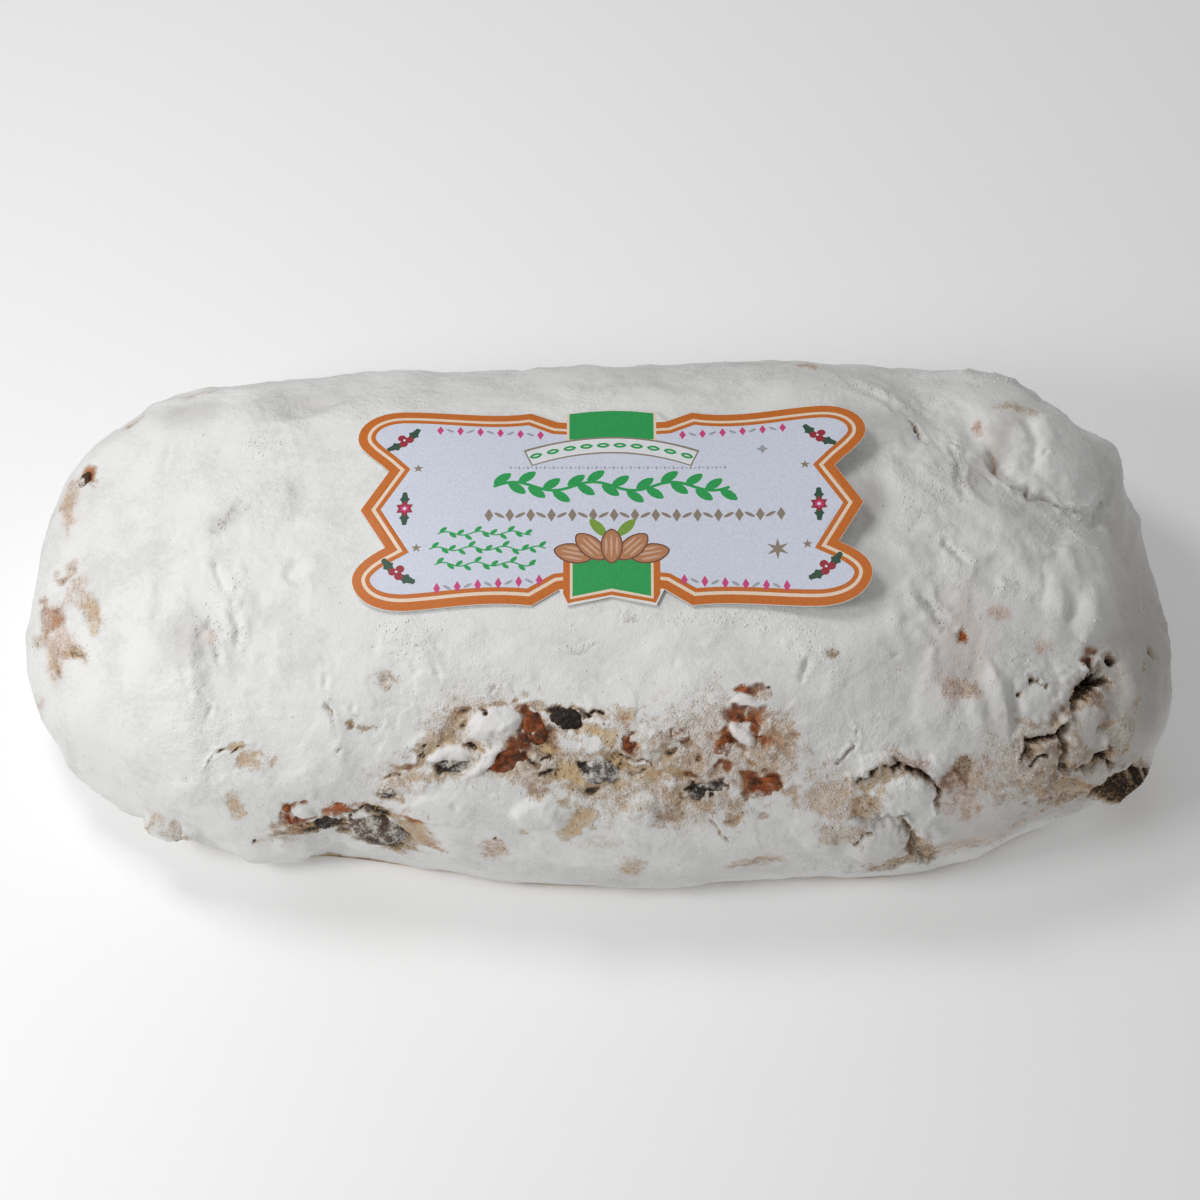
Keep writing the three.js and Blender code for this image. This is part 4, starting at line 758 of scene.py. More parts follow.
def trace(points, path):
    """Each point's distance from the path, how far along it, and its side: up is above 0."""
    places = [Place(*knot) for knot in path]
    spans = [after.point - before.point for before, after in zip(places, places[1:])]
    lengths = [float(np.linalg.norm(span)) for span in spans]
    least = np.full(len(points), np.inf)
    along = np.zeros(len(points))
    side = np.zeros(len(points))
    passed = 0.0
    for place, span, length in zip(places, spans, lengths):
        share = np.clip((points - place.point) @ span / length ** 2, 0.0, 1.0)
        offset = points - place.point - share[:, None] * span
        away = np.linalg.norm(offset, axis=1)
        across = np.cross(place.normal, span)
        across *= (1 if across @ place.up > 0 else -1) / np.linalg.norm(across)
        closer = away < least
        least = np.where(closer, away, least)
        along = np.where(closer, (passed + share * length) / sum(lengths), along)
        side = np.where(closer, offset @ across, side)
        passed += length
    return least, along, side


class SkinMarks:
    """Relief and tones of the sugar coat, one value for each vertex, built up in turn."""

    def __init__(self, points):
        self.points = points
        for name in ("rise", *TONES):
            setattr(self, name, np.zeros(len(points)))
        self.fine = uneven(points, FINE, 2, seed=1)
        self.middling = uneven(points, MIDDLING, 2, seed=2)
        self.broad = uneven(points, BROAD, 2, seed=3)
        wide = np.stack([uneven(points, WIDE_BEND, 2, seed=30 + axis) for axis in range(3)], axis=1)
        near = np.stack([uneven(points, SMALL_BEND, 1, seed=33 + axis) for axis in range(3)], axis=1)
        self.shaken = points + WIDE_SHAKE * wide + SMALL_SHAKE * near

    def add_swell(self):
        """Soft waves and dimples everywhere, and folds and crumbly sugar in drifts."""
        x = self.points[:, 0] - core[0]
        reach = np.radians(turn_of(self.points)) * TURN_REACH
        rough = uneven(self.points, 24.0, 2, seed=4) + 0.1 * smooth_step(40, 90, x)
        rough = smooth_step(-0.1, 0.5, rough + 0.15 * smooth_step(-60, -90, x))
        pillows = np.abs(uneven(self.shaken, 10.0, 2, seed=6))
        knobs = np.abs(uneven(self.shaken, 4.6, 2, seed=7))
        slant = STREAK_SLANT * smooth_step(-20.0, 60.0, x)
        streaks = np.stack([x + slant * reach, 0.3 * reach, 0 * x], axis=1)
        folds = np.abs(uneven(streaks, 13.0, 2, seed=5))
        folded = np.maximum(0.7 * smooth_step(-62.0, -92.0, x), 0.3 * smooth_step(55.0, 85.0, x))
        flakes = smooth_step(-0.05, 0.07, uneven(self.shaken, 15.0, 3, seed=8))
        self.rise += 0.6 * self.broad + (0.2 + 0.5 * rough) * (0.9 * pillows - 0.27)
        self.rise += folded * (1.3 * folds - 0.37) + 0.22 * flakes
        self.rise += (0.05 + 0.5 * rough) * (0.34 * knobs - 0.07)
        self.rise += (0.015 + 0.05 * rough) * self.fine

    def ovals(self, rows, depth):
        """How far out each point is in each row's oval, and the row's amount where it is near."""
        for x, turn, length, height, spin, amount in rows:
            reach, lift = Place(x, turn).oval(self.shaken, length, height, spin)
            yield reach, amount * (lift < depth)

    def add_lumps(self):
        for reach, rise in self.ovals(LUMPS.values(), MARK_DEPTH):
            self.rise += rise * smooth_step(1.2, 0.5, reach)

    def add_creases(self):
        for path, depth, half_width, shoulder in CREASES.values():
            away, along, _ = trace(self.shaken, path)
            taper = smooth_step(-0.1, 0.25, along) * smooth_step(1.1, 0.75, along)
            self.rise -= taper * depth * bell(away, half_width)
            self.rise += taper * shoulder * bell(away - 2.2 * half_width, half_width)

    def add_ridges(self):
        for path, height, half_width in RIDGES.values():
            away, along, _ = trace(self.shaken, path)
            taper = smooth_step(-0.15, 0.3, along) * smooth_step(1.15, 0.7, along)
            self.rise += taper * height * bell(away, half_width)

    def add_crumbly(self):
        for reach, amount in self.ovals(CRUMBLY.values(), MARK_DEPTH):
            share = amount * smooth_step(1.5, 0.4, reach + 0.5 * self.middling)
            self.crumbly = np.maximum(self.crumbly, share)
        self.rise += self.crumbly * (0.9 * np.abs(self.middling) + 0.4 * self.fine - 0.15)

    def add_painted_shade_and_thin_sugar(self):
        # Painted shade, with thinner sugar: how far the sugar is darkened, by the table's rows.
        for reach, amount in self.ovals(PAINTED_SHADE_AND_THIN_SUGAR.values(), GREY_DEPTH):
            share = amount * smooth_step(1.5, 0.3, reach + 0.3 * self.broad)
            self.grey = np.maximum(self.grey, share)

    def add_tears(self):
        for path, depth, half_width, lip, burnt in TEARS.values():
            away, along, side = trace(self.shaken, path)
            near = away < half_width * 6.0 + 3.0
            away, along, side = away[near], along[near], side[near]
            thin = half_width < THIN_TEAR
            grain = (0.5 if thin else 1.0) * (0.6 * self.fine[near] + 0.5 * self.middling[near])
            taper = 0.4 + 0.6 * smooth_step(0.0, 0.2, along) * smooth_step(1.0, 0.8, along)
            width = half_width * taper * (1.0 + 0.9 * self.middling[near])
            d = away / np.maximum(width, 0.15) + grain
            lifted = np.where(side > 0, 1.0, 0.35)
            self.rise[near] -= depth * taper * smooth_step(1.7, 0.2, d)
            self.rise[near] += lip * lifted * bell(d - 2.4, 1.5)
            # The core is painted near black: dark crust and painted shade where the crack is deepest.
            dark = burnt * smooth_step(1.25, 0.45, d + 0.3 * grain)
            halo = (0.2 if thin else 0.36) * smooth_step(4.2, 0.8, d + 1.6 * grain)
            self.burnt[near] = np.maximum(self.burnt[near], np.maximum(dark, 0.6 * burnt * halo))
            self.bare[near] = np.maximum(self.bare[near], np.maximum(dark, halo * (0.4 + 0.6 * burnt)))

    def add_bare(self):
        for x, turn, length, height, spin, amount, *levels in sum(BARE.values(), []):
            place = Place(x, turn)
            near = np.linalg.norm(self.shaken - place.point, axis=1) < 1.3 * max(length, height) + 1.0
            reach, _ = place.oval(self.shaken[near], length, height, spin)
            edge = reach + 0.45 * self.middling[near] + 0.35 * self.fine[near]
            share = amount * smooth_step(1.6, 0.45, edge)
            before = self.bare[near]
            self.bare[near] = 1.0 - (1.0 - before) * (1.0 - share) / (1.0 - 0.5 * before * share)
            tones = (self.burnt, self.rust, self.damp, self.amber)
            for tone, level in zip(tones, levels):
                tone[near] = np.maximum(tone[near], level * smooth_step(1.7, 0.6, edge))

    def keep_whole(self):
        for reach, amount in self.ovals(WHOLE, WHOLE_DEPTH):
            share = amount * smooth_step(1.26, 0.78, reach + 0.2 * self.middling)
            self.bare *= 1.0 - share
            self.burnt *= 1.0 - share

    def add_holes(self):
        for where, radius, depth, dark in HOLES.values():
            away = np.linalg.norm(self.points - Place(*where).point, axis=1)
            self.sink_hole(away + 0.4 * self.fine, radius, depth, dark)

    def add_stray_pits(self):
        draw = np.random.default_rng(11)
        for _ in range(STRAY_PITS):
            x = draw.uniform(-PIT_REACH, PIT_REACH)
            turn = draw.uniform(*PIT_TURNS)
            radius = draw.uniform(*PIT_RADII)
            dark = draw.uniform(0.0, 0.4) ** 2
            away = np.linalg.norm(self.shaken - Place(x, turn).point, axis=1)
            self.sink_hole(away, radius, radius * 0.6, dark)

    def sink_hole(self, away, radius, depth, dark):
        shape = smooth_step(radius * 1.4, radius * 0.4, away)
        self.rise -= depth * shape
        self.burnt = np.maximum(self.burnt, dark * shape)
        self.bare = np.maximum(self.bare, dark * shape)

    def seat_fruit(self):
        """Sinks the skin under each fruit where the sugar is off; elsewhere it covers the fruit."""
        for name in FRUIT:
            tree = packed_tree(name)
            for index in np.flatnonzero(near_fruit(name, self.points, 3.0)):
                point = Vector(self.points[index])
                hit, normal, _, distance = tree.find_nearest(point)
                inside = (point - hit).dot(normal) < 0
                self.seat_point(index, -distance if inside else distance, name in PROUD)

    def seat_point(self, index, gap, proud):
        """Sinks one point of the skin by its gap from a fruit; crust shows round a proud one."""
        share = 1.0 if proud else float(smooth_step(0.35, 0.7, self.bare[index]))
        self.rise[index] *= 1.0 - share * float(smooth_step(1.2, -1.2, gap))
        self.rise[index] -= share * SEAT_DEPTH[proud] * float(smooth_step(0.2, -1.0, gap))
        if proud:
            patchy = float(self.middling[index])
            self.rise[index] += 0.5 * float(bell(gap - 0.1, 0.9)) * (0.5 + 1.8 * patchy)
            shown = float(smooth_step(1.1, -0.3, gap + 2.0 * patchy))
            self.bare[index] = max(self.bare[index], 0.75 * shown)
            self.burnt[index] = max(self.burnt[index], 0.6 * shown)

    def rub_off_sugar(self):
        """Bare places lie lower by the sugar's depth, with a crumbly edge and crust."""
        gone = smooth_step(BARE_EDGE[0], BARE_EDGE[1], self.bare + 0.25 * self.fine)
        self.rise -= SUGAR_DEPTH * gone
        self.rise += 0.3 * gone * self.fine + 0.2 * gone * self.middling

    def keep_under_card(self):
        """Nothing rises under the card, and the sugar settles towards it."""
        x = np.abs(self.points[:, 0] - core[0] - CARD_CENTRE[0]) - PRESSED_HALF[0]
        y = np.abs(self.points[:, 1] - core[1] - CARD_CENTRE[1]) - PRESSED_HALF[1]
        away = np.hypot(np.maximum(x, 0.0), np.maximum(y, 0.0))
        free = smooth_step(-0.5, 7.0, away)
        self.rise = np.where(self.rise > 0, self.rise * free, self.rise)
        self.rise *= np.maximum(free, 0.25)

    def rest_on_floor(self):
        self.rise *= smooth_step(0.0, 3.0, self.points[:, 2])
        under = self.points[:, 2] < UNDERSIDE_MARGIN
        self.bare[under] = 0.85
        self.burnt[under] = 0.2
        self.amber[under] = 0.3


def vectors(items, field):
    values = np.empty(len(items) * 3)
    items.foreach_get(field, values)
    return values.reshape(-1, 3)


def store(mesh, name, values):
    attribute = mesh.attributes.new(name, "FLOAT", "POINT")
    attribute.data.foreach_set("value", np.clip(values, 0.0, 1.0).astype(np.float32))


def set_points(mesh, points):
    mesh.vertices.foreach_set("co", points.ravel())
    mesh.update()


def make_sugar_coat():
    mesh = make_fine_skin()
    points = vectors(mesh.vertices, "co")
    normals = vectors(mesh.vertex_normals, "vector")
    marks = SkinMarks(points)
    marks.add_swell()
    marks.add_lumps()
    marks.add_creases()
    marks.add_ridges()
    marks.add_crumbly()
    marks.add_painted_shade_and_thin_sugar()
    marks.add_bare()
    marks.keep_whole()
    marks.add_tears()
    marks.seat_fruit()
    marks.rub_off_sugar()
    marks.add_holes()
    marks.add_stray_pits()
    marks.keep_under_card()
    marks.rest_on_floor()
    set_points(mesh, (points + normals * marks.rise[:, None]) * MM)
    for name in TONES:
        store(mesh, name, getattr(marks, name))
    return mesh


# ---- Node helpers ----

def add_node(tree, kind, **settings):
    node = tree.nodes.new(kind)
    for key, value in settings.items():
        setattr(node, key, value)
    return node


def join(tree, source, socket):
    """Links an output to the socket, or sets a value on it."""
    if isinstance(source, bpy.types.NodeSocket):
        tree.links.new(source, socket)
    elif socket.type == "RGBA":
        socket.default_value = (*source, 1.0)
    else:
        socket.default_value = source


def feed(tree, node, **sources):
    """Joins each source to the socket that it names, with _ for a space."""
    for key, source in sources.items():
        join(tree, source, node.inputs[key.replace("_", " ")])
    return node


def maths(tree, operation, first, second=0.0):
    node = add_node(tree, "ShaderNodeMath", operation=operation)
    join(tree, first, node.inputs[0])
    join(tree, second, node.inputs[1])
    return node.outputs[0]


def plus(tree, first, second):
    return maths(tree, "ADD", first, second)


def times(tree, first, second):
    return maths(tree, "MULTIPLY", first, second)


def remap(tree, value, low, high, to_low=0.0, to_high=1.0):
    node = add_node(tree, "ShaderNodeMapRange", interpolation_type="SMOOTHSTEP")
    feed(tree, node, Value=value, From_Min=low, From_Max=high, To_Min=to_low, To_Max=to_high)
    return node.outputs["Result"]


def blend_colour(tree, share, first, second):
    node = add_node(tree, "ShaderNodeMix", data_type="RGBA")
    for index, source in ((0, share), (6, first), (7, second)):
        join(tree, source, node.inputs[index])
    return node.outputs[2]


# size of the features in metres, detail and roughness
PATTERNS = {
    "grains of dust": (0.00046, 2.0, 0.6),
    "clots of dust": (0.0015, 3.0, 0.6),
    "mottled crust": (0.0035, 3.0, 0.6),
    "flecks of crust": (0.0009, 3.0, 0.65),
    "powder": (0.0014, 3.0, 0.7),
    "drifts": (0.014, 3.0, 0.6),
    "rough patches": (0.022, 3.0, 0.6),
    "crumble": (0.0030, 3.0, 0.65),
    "grit": (0.0006, 3.0, 0.7),
    "tones of crumbs": (0.0016, 2.0, 0.6),
    "soot on crumbs": (0.004, 2.0, 0.6),
    "mottled fruit": (0.0022, 3.0, 0.6),
    "paper fibres": (0.0005, 3.0, 0.6),
    "floor": (0.4, 2.0, 0.5),
}


def pattern(tree, name):
    """The named noise on the piece's own mesh."""
    size, detail, roughness = PATTERNS[name]
    coordinates = add_node(tree, "ShaderNodeTexCoord")
    node = add_node(tree, "ShaderNodeTexNoise")
    vector = coordinates.outputs["Object"]
    feed(tree, node, Vector=vector, Scale=1.0 / size, Detail=detail, Roughness=roughness)
    return node.outputs["Fac"]


def centred(tree, value):
    """A noise value moved so that its middle is 0."""
    return maths(tree, "SUBTRACT", value, 0.5)


def attribute(tree, name):
    return add_node(tree, "ShaderNodeAttribute", attribute_name=name).outputs["Fac"]


def add_bump(tree, shader, height, strength, distance):
    node = add_node(tree, "ShaderNodeBump")
    feed(tree, node, Strength=strength, Distance=distance, Height=height)
    feed(tree, shader, Normal=node.outputs["Normal"])


def new_group(kind, name, inputs, outputs):
    """A node group with its named inputs, each with a kind and a usual value, and its outputs."""
    tree = bpy.data.node_groups.new(name, kind)
    for label, socket_kind, *value in inputs:
        socket = tree.interface.new_socket(label, in_out="INPUT", socket_type="NodeSocket" + socket_kind)
        if value:
            socket.default_value = value[0]
    for label, socket_kind in outputs:
        tree.interface.new_socket(label, in_out="OUTPUT", socket_type="NodeSocket" + socket_kind)
    return tree, add_node(tree, "NodeGroupInput"), add_node(tree, "NodeGroupOutput")


def place_group(tree, group, **links):
    node = add_node(tree, "ShaderNodeGroup", node_tree=group)
    return feed(tree, node, **links)


def new_material(name):
    material = bpy.data.materials.new(name)
    material.use_nodes = True
    tree = material.node_tree
    return material, tree, tree.nodes["Principled BSDF"]


# ---- Finishes ----

SUGAR_WHITE = (0.83, 0.83, 0.82)
SUGAR_GREY = (0.72, 0.72, 0.71)
# thin sugar, and also the colour of the sugar's painted shade
SUGAR_THIN_AND_SHADED = (0.435, 0.405, 0.370)
SUGAR_DAMP = (0.75, 0.62, 0.56)
SUGAR_TINGED = (0.76, 0.66, 0.54)
CRUST_AMBER = (0.64, 0.45, 0.24)
CRUST_TAN = (0.52, 0.345, 0.172)
CRUST_BROWN = (0.239, 0.128, 0.0571)
CRUST_ORANGE = (0.42, 0.155, 0.055)
CRUST_RUST = (0.165, 0.040, 0.016)
CRUST_DARK = (0.085, 0.048, 0.028)
CRUST_BURNT = (0.026, 0.018, 0.012)
SUGAR_ON_FRUIT = (0.66, 0.62, 0.56)
RAISIN_DARK = (0.018, 0.012, 0.009)
RAISIN_WARM = (0.080, 0.036, 0.021)
PEEL_DEEP = (0.072, 0.022, 0.009)
PEEL_BRIGHT = (0.37, 0.097, 0.024)
SUGAR_ROUGHNESS = 0.94
CRUST_ROUGHNESS = 0.78
PRINT_ROUGHNESS = 0.46
COAT_BUMP = 0.0006  # metres
FRUIT_BUMP = 0.0002
CARD_BUMP = 0.00005


def make_dust_group():
    """Sugar lying on something darker: a film that thins out, then stray grains of it.

    Cover is 1 where the sugar is whole. Film is how much the thinned sugar still hides.
    """
    grey = (0.5, 0.5, 0.5, 1.0)
    tree, given, result = new_group(
        "ShaderNodeTree", "sugar_dust",
        [("Under", "Color", grey), ("Sugar", "Color", grey), ("Cover", "Float", 1.0),
         ("Breakup", "Float", 1.5), ("Film", "Float", 0.6)],
        [("Colour", "Color"), ("Mask", "Float"), ("Height", "Float")],
    )
    cover = given.outputs["Cover"]
    grains = times(tree, centred(tree, pattern(tree, "grains of dust")), 1.1)
    clots = times(tree, centred(tree, pattern(tree, "clots of dust")), 1.1)
    spread = plus(tree, grains, clots)
    shed = remap(tree, cover, 0.97, 0.72)
    broken = times(tree, times(tree, spread, given.outputs["Breakup"]), shed)
    mask = remap(tree, plus(tree, cover, broken), 0.28, 0.92)
    veil = times(tree, remap(tree, cover, 0.04, 0.80), given.outputs["Film"])
    filmed = blend_colour(tree, veil, given.outputs["Under"], given.outputs["Sugar"])
    mixed = blend_colour(tree, mask, filmed, given.outputs["Sugar"])
    height = plus(tree, mask, times(tree, spread, 0.6))
    feed(tree, result, Colour=mixed, Mask=mask, Height=height)
    return tree


def crust_colour(tree, burnt):
    """Baked crust: tan and brown, golden, glazed red-brown, and sooty where it is burnt."""
    mottle = pattern(tree, "mottled crust")
    flecks = centred(tree, pattern(tree, "flecks of crust"))
    crust = blend_colour(tree, remap(tree, mottle, 0.40, 0.62), CRUST_TAN, CRUST_BROWN)
    golden = plus(tree, attribute(tree, "amber"), times(tree, centred(tree, mottle), 1.2))
    crust = blend_colour(tree, remap(tree, golden, 0.3, 0.85), crust, CRUST_AMBER)
    deep = plus(tree, mottle, times(tree, burnt, 0.7))
    glazed = blend_colour(tree, remap(tree, deep, 0.52, 0.82), CRUST_ORANGE, CRUST_RUST)
    rusty = plus(tree, attribute(tree, "rust"), flecks)
    crust = blend_colour(tree, remap(tree, rusty, 0.25, 0.75), crust, glazed)
    soot = blend_colour(tree, remap(tree, burnt, 0.45, 0.8), CRUST_DARK, CRUST_BURNT)
    sooty = plus(tree, burnt, times(tree, flecks, 1.5))
    return blend_colour(tree, remap(tree, sooty, 0.46, 0.76), crust, soot)


def sugar_colour(tree, bare, powder):
    """Icing sugar: white and grey in drifts, darkened by painted shade and thinner sugar, tinged by the
    crust, or damp.
    """
    clouded = plus(tree, pattern(tree, "drifts"), times(tree, centred(tree, powder), 0.5))
    sugar = blend_colour(tree, remap(tree, clouded, 0.42, 0.74), SUGAR_WHITE, SUGAR_GREY)
    # painted shade, with thinner sugar, where the grey tone says
    sugar = blend_colour(tree, times(tree, attribute(tree, "grey"), 0.85), sugar, SUGAR_THIN_AND_SHADED)
    tinged = times(tree, remap(tree, bare, 0.06, 0.55), 0.75)
    sugar = blend_colour(tree, tinged, sugar, SUGAR_TINGED)
    return blend_colour(tree, times(tree, attribute(tree, "damp"), 0.85), sugar, SUGAR_DAMP)


def sugar_grit(tree, powder):
    """Height of the sugar's grit, greater in patches and where the sugar is crumbly."""
    patches = remap(tree, pattern(tree, "rough patches"), 0.50, 0.66, 0.14, 0.8)
    patches = maths(tree, "MAXIMUM", patches, attribute(tree, "crumbly"))
    crumble = plus(tree, times(tree, powder, 1.5), pattern(tree, "crumble"))
    return times(tree, plus(tree, crumble, times(tree, pattern(tree, "grit"), 0.6)), patches)


def coat_roughness(tree, mask):
    """Sugar is the roughest, and glazed crust the smoothest."""
    crust = maths(tree, "SUBTRACT", CRUST_ROUGHNESS, times(tree, attribute(tree, "rust"), 0.3))
    mixed = add_node(tree, "ShaderNodeMix", data_type="FLOAT")
    for index, source in ((0, mask), (2, crust), (3, SUGAR_ROUGHNESS)):
        join(tree, source, mixed.inputs[index])
    return mixed.outputs[0]


def make_coat_material(dust):
    """Icing sugar over baked crust, by the tones that the mesh holds."""
    material, tree, shader = new_material("icing_sugar_and_crust")
    bare = attribute(tree, "bare")
    powder = pattern(tree, "powder")
    crust = crust_colour(tree, attribute(tree, "burnt"))
    sugar = sugar_colour(tree, bare, powder)
    cover = maths(tree, "SUBTRACT", 1.0, bare)
    dusted = place_group(tree, dust, Under=crust, Sugar=sugar, Cover=cover, Breakup=0.95, Film=0.45)
    feed(tree, shader, Base_Color=dusted.outputs["Colour"], Specular_IOR_Level=0.22)
    feed(tree, shader, Roughness=coat_roughness(tree, dusted.outputs["Mask"]))
    height = plus(tree, times(tree, dusted.outputs["Height"], 0.6), sugar_grit(tree, powder))
    add_bump(tree, shader, height, 0.6, COAT_BUMP)
    return material


def make_crumb_material():
    """Loose crumbs of crust, each near one tone between straw and dark brown."""
    material, tree, shader = new_material("crust_crumbs")
    tone = remap(tree, pattern(tree, "tones of crumbs"), 0.34, 0.56)
    crumb = blend_colour(tree, tone, CRUST_TAN, CRUST_BROWN)
    soot = remap(tree, pattern(tree, "soot on crumbs"), 0.50, 0.64)
    colour = blend_colour(tree, soot, crumb, CRUST_DARK)
    feed(tree, shader, Base_Color=colour, Roughness=0.85, Specular_IOR_Level=0.2)
    return material


def make_fruit_material(name, dust, deep, bright, roughness, coat):
    """Dark fruit flesh whose top keeps the sugar that its dust value gives."""
    material, tree, shader = new_material(name)
    mottle = pattern(tree, "mottled fruit")
    tone = plus(tree, mottle, times(tree, attribute(tree, "burnt"), 0.6))
    flesh = blend_colour(tree, remap(tree, tone, 0.50, 0.86), bright, deep)
    cover = attribute(tree, "dust")
    dusted = place_group(tree, dust, Under=flesh, Sugar=SUGAR_ON_FRUIT, Cover=cover, Breakup=1.5, Film=0.3)
    rough = remap(tree, dusted.outputs["Mask"], 0.0, 1.0, roughness, 0.9)
    feed(tree, shader, Base_Color=dusted.outputs["Colour"], Roughness=rough)
    feed(tree, shader, Coat_Weight=coat, Coat_Roughness=0.3, Specular_IOR_Level=0.25)
    add_bump(tree, shader, dusted.outputs["Height"], 0.6, FRUIT_BUMP)
    return material


def make_card_material(name, colour):
    """Printed card: an ink with faint mottling over the paper's fibres."""
    material, tree, shader = new_material("card_" + name)
    fibres = pattern(tree, "paper fibres")
    paler = tuple(min(1.0, c * 1.06 + 0.01) for c in colour)
    darker = tuple(c * 0.93 for c in colour)
    feed(tree, shader, Base_Color=blend_colour(tree, remap(tree, fibres, 0.3, 0.7), darker, paler))
    rough = remap(tree, fibres, 0.2, 0.8, PRINT_ROUGHNESS - 0.05, PRINT_ROUGHNESS + 0.08)
    feed(tree, shader, Roughness=rough)
    add_bump(tree, shader, fibres, 0.25, CARD_BUMP)
    return material


# ---- Fruit ----

# depth and width of the wrinkles in mm, the share of its crown kept, and its sugar
USUAL_RAISIN = (0.4, 2.2, 0.3, 0.1)
USUAL_PEEL = (0.2, 3.0, 0.15, -0.1)
OWN_SETTINGS = {
    "raisin_01": (1.1, 3.0, 1.0, 0.46),
    "raisin_02": (0.8, 2.2, 0.6, 0.05),
    "raisin_03": (0.5, 2.0, 0.2, -0.5),
    "raisin_05": (0.6, 1.8, 0.3, 0.35),
    "raisin_06": (0.6, 1.8, 0.3, 0.15),
    "raisin_08": (0.5, 1.6, 0.5, -0.1),
    "raisin_09": (0.4, 2.2, 0.5, -0.2),
    "candied_peel_01": (0.12, 4.0, 0.06, -0.7),
    "candied_peel_02": (0.12, 4.0, 0.06, -0.7),
    "candied_peel_06": (0.5, 1.8, 0.2, 0.3),
}
FRUIT_LEVELS = 2
FRUIT_SEED = 40
CROWN = -0.3  # mm over the skin from which a fruit is flattened
FRUIT_LUMP = 3.6  # wavelengths of its lumps and its grain
FRUIT_GRAIN = 0.9


def merged_copy(name):
    """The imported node's mesh with its corners joined, in millimetres."""
    bm = bmesh.new()
    bm.from_mesh(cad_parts[name].data)
    bmesh.ops.remove_doubles(bm, verts=bm.verts, dist=1e-6)
    bmesh.ops.scale(bm, vec=Vector((1, 1, 1)) / MM, verts=bm.verts)
    return bm


def modified(mesh, name, kind, set_up):
    """A plain mesh, made from the given one by a modifier that set_up gets ready."""
    holder = bpy.data.objects.new(name + "_holder", mesh)
    bpy.context.scene.collection.objects.link(holder)
    set_up(holder.modifiers.new("shape", kind))
    graph = bpy.context.evaluated_depsgraph_get()
    made = bpy.data.meshes.new_from_object(holder.evaluated_get(graph))
    bpy.data.objects.remove(holder)
    made.name = name
    return made


def subdivided(bm, name):
    mesh = bpy.data.meshes.new(name)
    bm.to_mesh(mesh)
    bm.free()

    def set_levels(modifier):
        modifier.levels = FRUIT_LEVELS
        modifier.render_levels = FRUIT_LEVELS

    return modified(mesh, name, "SUBSURF", set_levels)


def finish_piece(mesh, name, materials, slot, *nodes):
    """Makes the object, smooth shaded, puts it under its body and hides the nodes that it replaces; slot is
    not used.
    """
    piece = bpy.data.objects.new(name, mesh)
    bpy.context.scene.collection.objects.link(piece)
    mesh.materials.clear()
    for material in materials:
        mesh.materials.append(material)
    mesh.polygons.foreach_set("use_smooth", [True] * len(mesh.polygons))
    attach(piece, BODY)
    if nodes:
        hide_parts(*nodes)


def stands_proud(points):
    """How far each point stands out of the bare skin."""
    heights = []
    for point in points.tolist():
        hit, normal, _, _ = bare_tree.find_nearest(Vector(point))
        heights.append((Vector(point) - hit).dot(normal))
    return np.array(heights)


def make_fruit(name, material, slot, shape, seed):
    """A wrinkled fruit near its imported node's form, with sugar left on it in patches.

    shape is the wrinkles' depth and width in mm, how much of its height it keeps above the
    crown's first part, and its cover of sugar.
    """
    wrinkle, fold, kept, cover = shape
    mesh = subdivided(merged_copy(name), name + "_skin")
    points = vectors(mesh.vertices, "co")
    normals = vectors(mesh.vertex_normals, "vector")
    ridges = np.abs(uneven(points, fold, 2, seed))
    lumpy = uneven(points, FRUIT_LUMP, 2, seed + 1)
    grain = uneven(points, FRUIT_GRAIN, 2, seed + 2)
    proud = stands_proud(points)
    lowered = (1.0 - kept) * np.maximum(proud - CROWN, 0.0)
    rise = wrinkle * (0.35 - 1.6 * ridges) + 0.6 * lumpy + 0.12 * grain - lowered
    marks = SkinMarks(points)
    marks.add_bare()
    marks.keep_whole()
    bare = 0.9 if name in PROUD else marks.bare
    cover = cover + 0.7 * (0.9 - bare) + 0.3 * lumpy + 0.5 * (ridges - 0.2) + 0.1 * grain
    store(mesh, "burnt", marks.burnt)
    set_points(mesh, (points + normals * rise[:, None]) * MM)
    store(mesh, "dust", cover)
    finish_piece(mesh, name + "_skin", [material], slot, name)


# ---- The card ----

CARD_THICKNESS = 0.28
CARD_GAP = 0.42
CARD_CURL = 4.5
CARD_CURL_START = 14.8  # from the card's centre
CARD_HALF_LENGTH = 61.0
CARD_GRID = 3.0
GRID_HALF = (60.0, 28.0)
GRID_MARGIN = 0.8  # between the grid's outermost points and the card's edge
EAR_RISE = 0.5  # of the card's left corners
RIPPLE = 0.12
TAB_HALF = 10.6
TAB_SAG = 1.2
BORDERS = (("orange", 0.06), ("cream", 2.25), ("orange", 3.1), ("ground", 4.2))  # inwards

INKS = {
    "paper": (0.80, 0.78, 0.74),
    "orange": (0.58, 0.145, 0.006),
    "cream": (0.84, 0.68, 0.54),
    "ground": (0.66, 0.695, 0.80),
    "green": (0.010, 0.34, 0.075),
    "leaf": (0.022, 0.075, 0.042),
    "fresh_leaf": (0.19, 0.34, 0.035),
    "berry": (0.33, 0.012, 0.03),
    "pink": (0.62, 0.05, 0.21),
    "taupe": (0.27, 0.215, 0.165),
    "grey": (0.36, 0.37, 0.40),
    "white": (0.78, 0.79, 0.82),
    "nut": (0.46, 0.20, 0.085),
    "nut_pale": (0.62, 0.38, 0.26),
    "nut_dark": (0.17, 0.055, 0.025),
}


def bezier(start, first, second, end, steps):
    """Points on the curve after its start."""
    points = []
    for step in range(1, steps + 1):
        t = step / steps
        s = 1 - t
        weights = (s ** 3, 3 * s * s * t, 3 * s * t * t, t ** 3)
        points.append(tuple(
            sum(w * p[axis] for w, p in zip(weights, (start, first, second, end))) for axis in (0, 1)
        ))
    return points


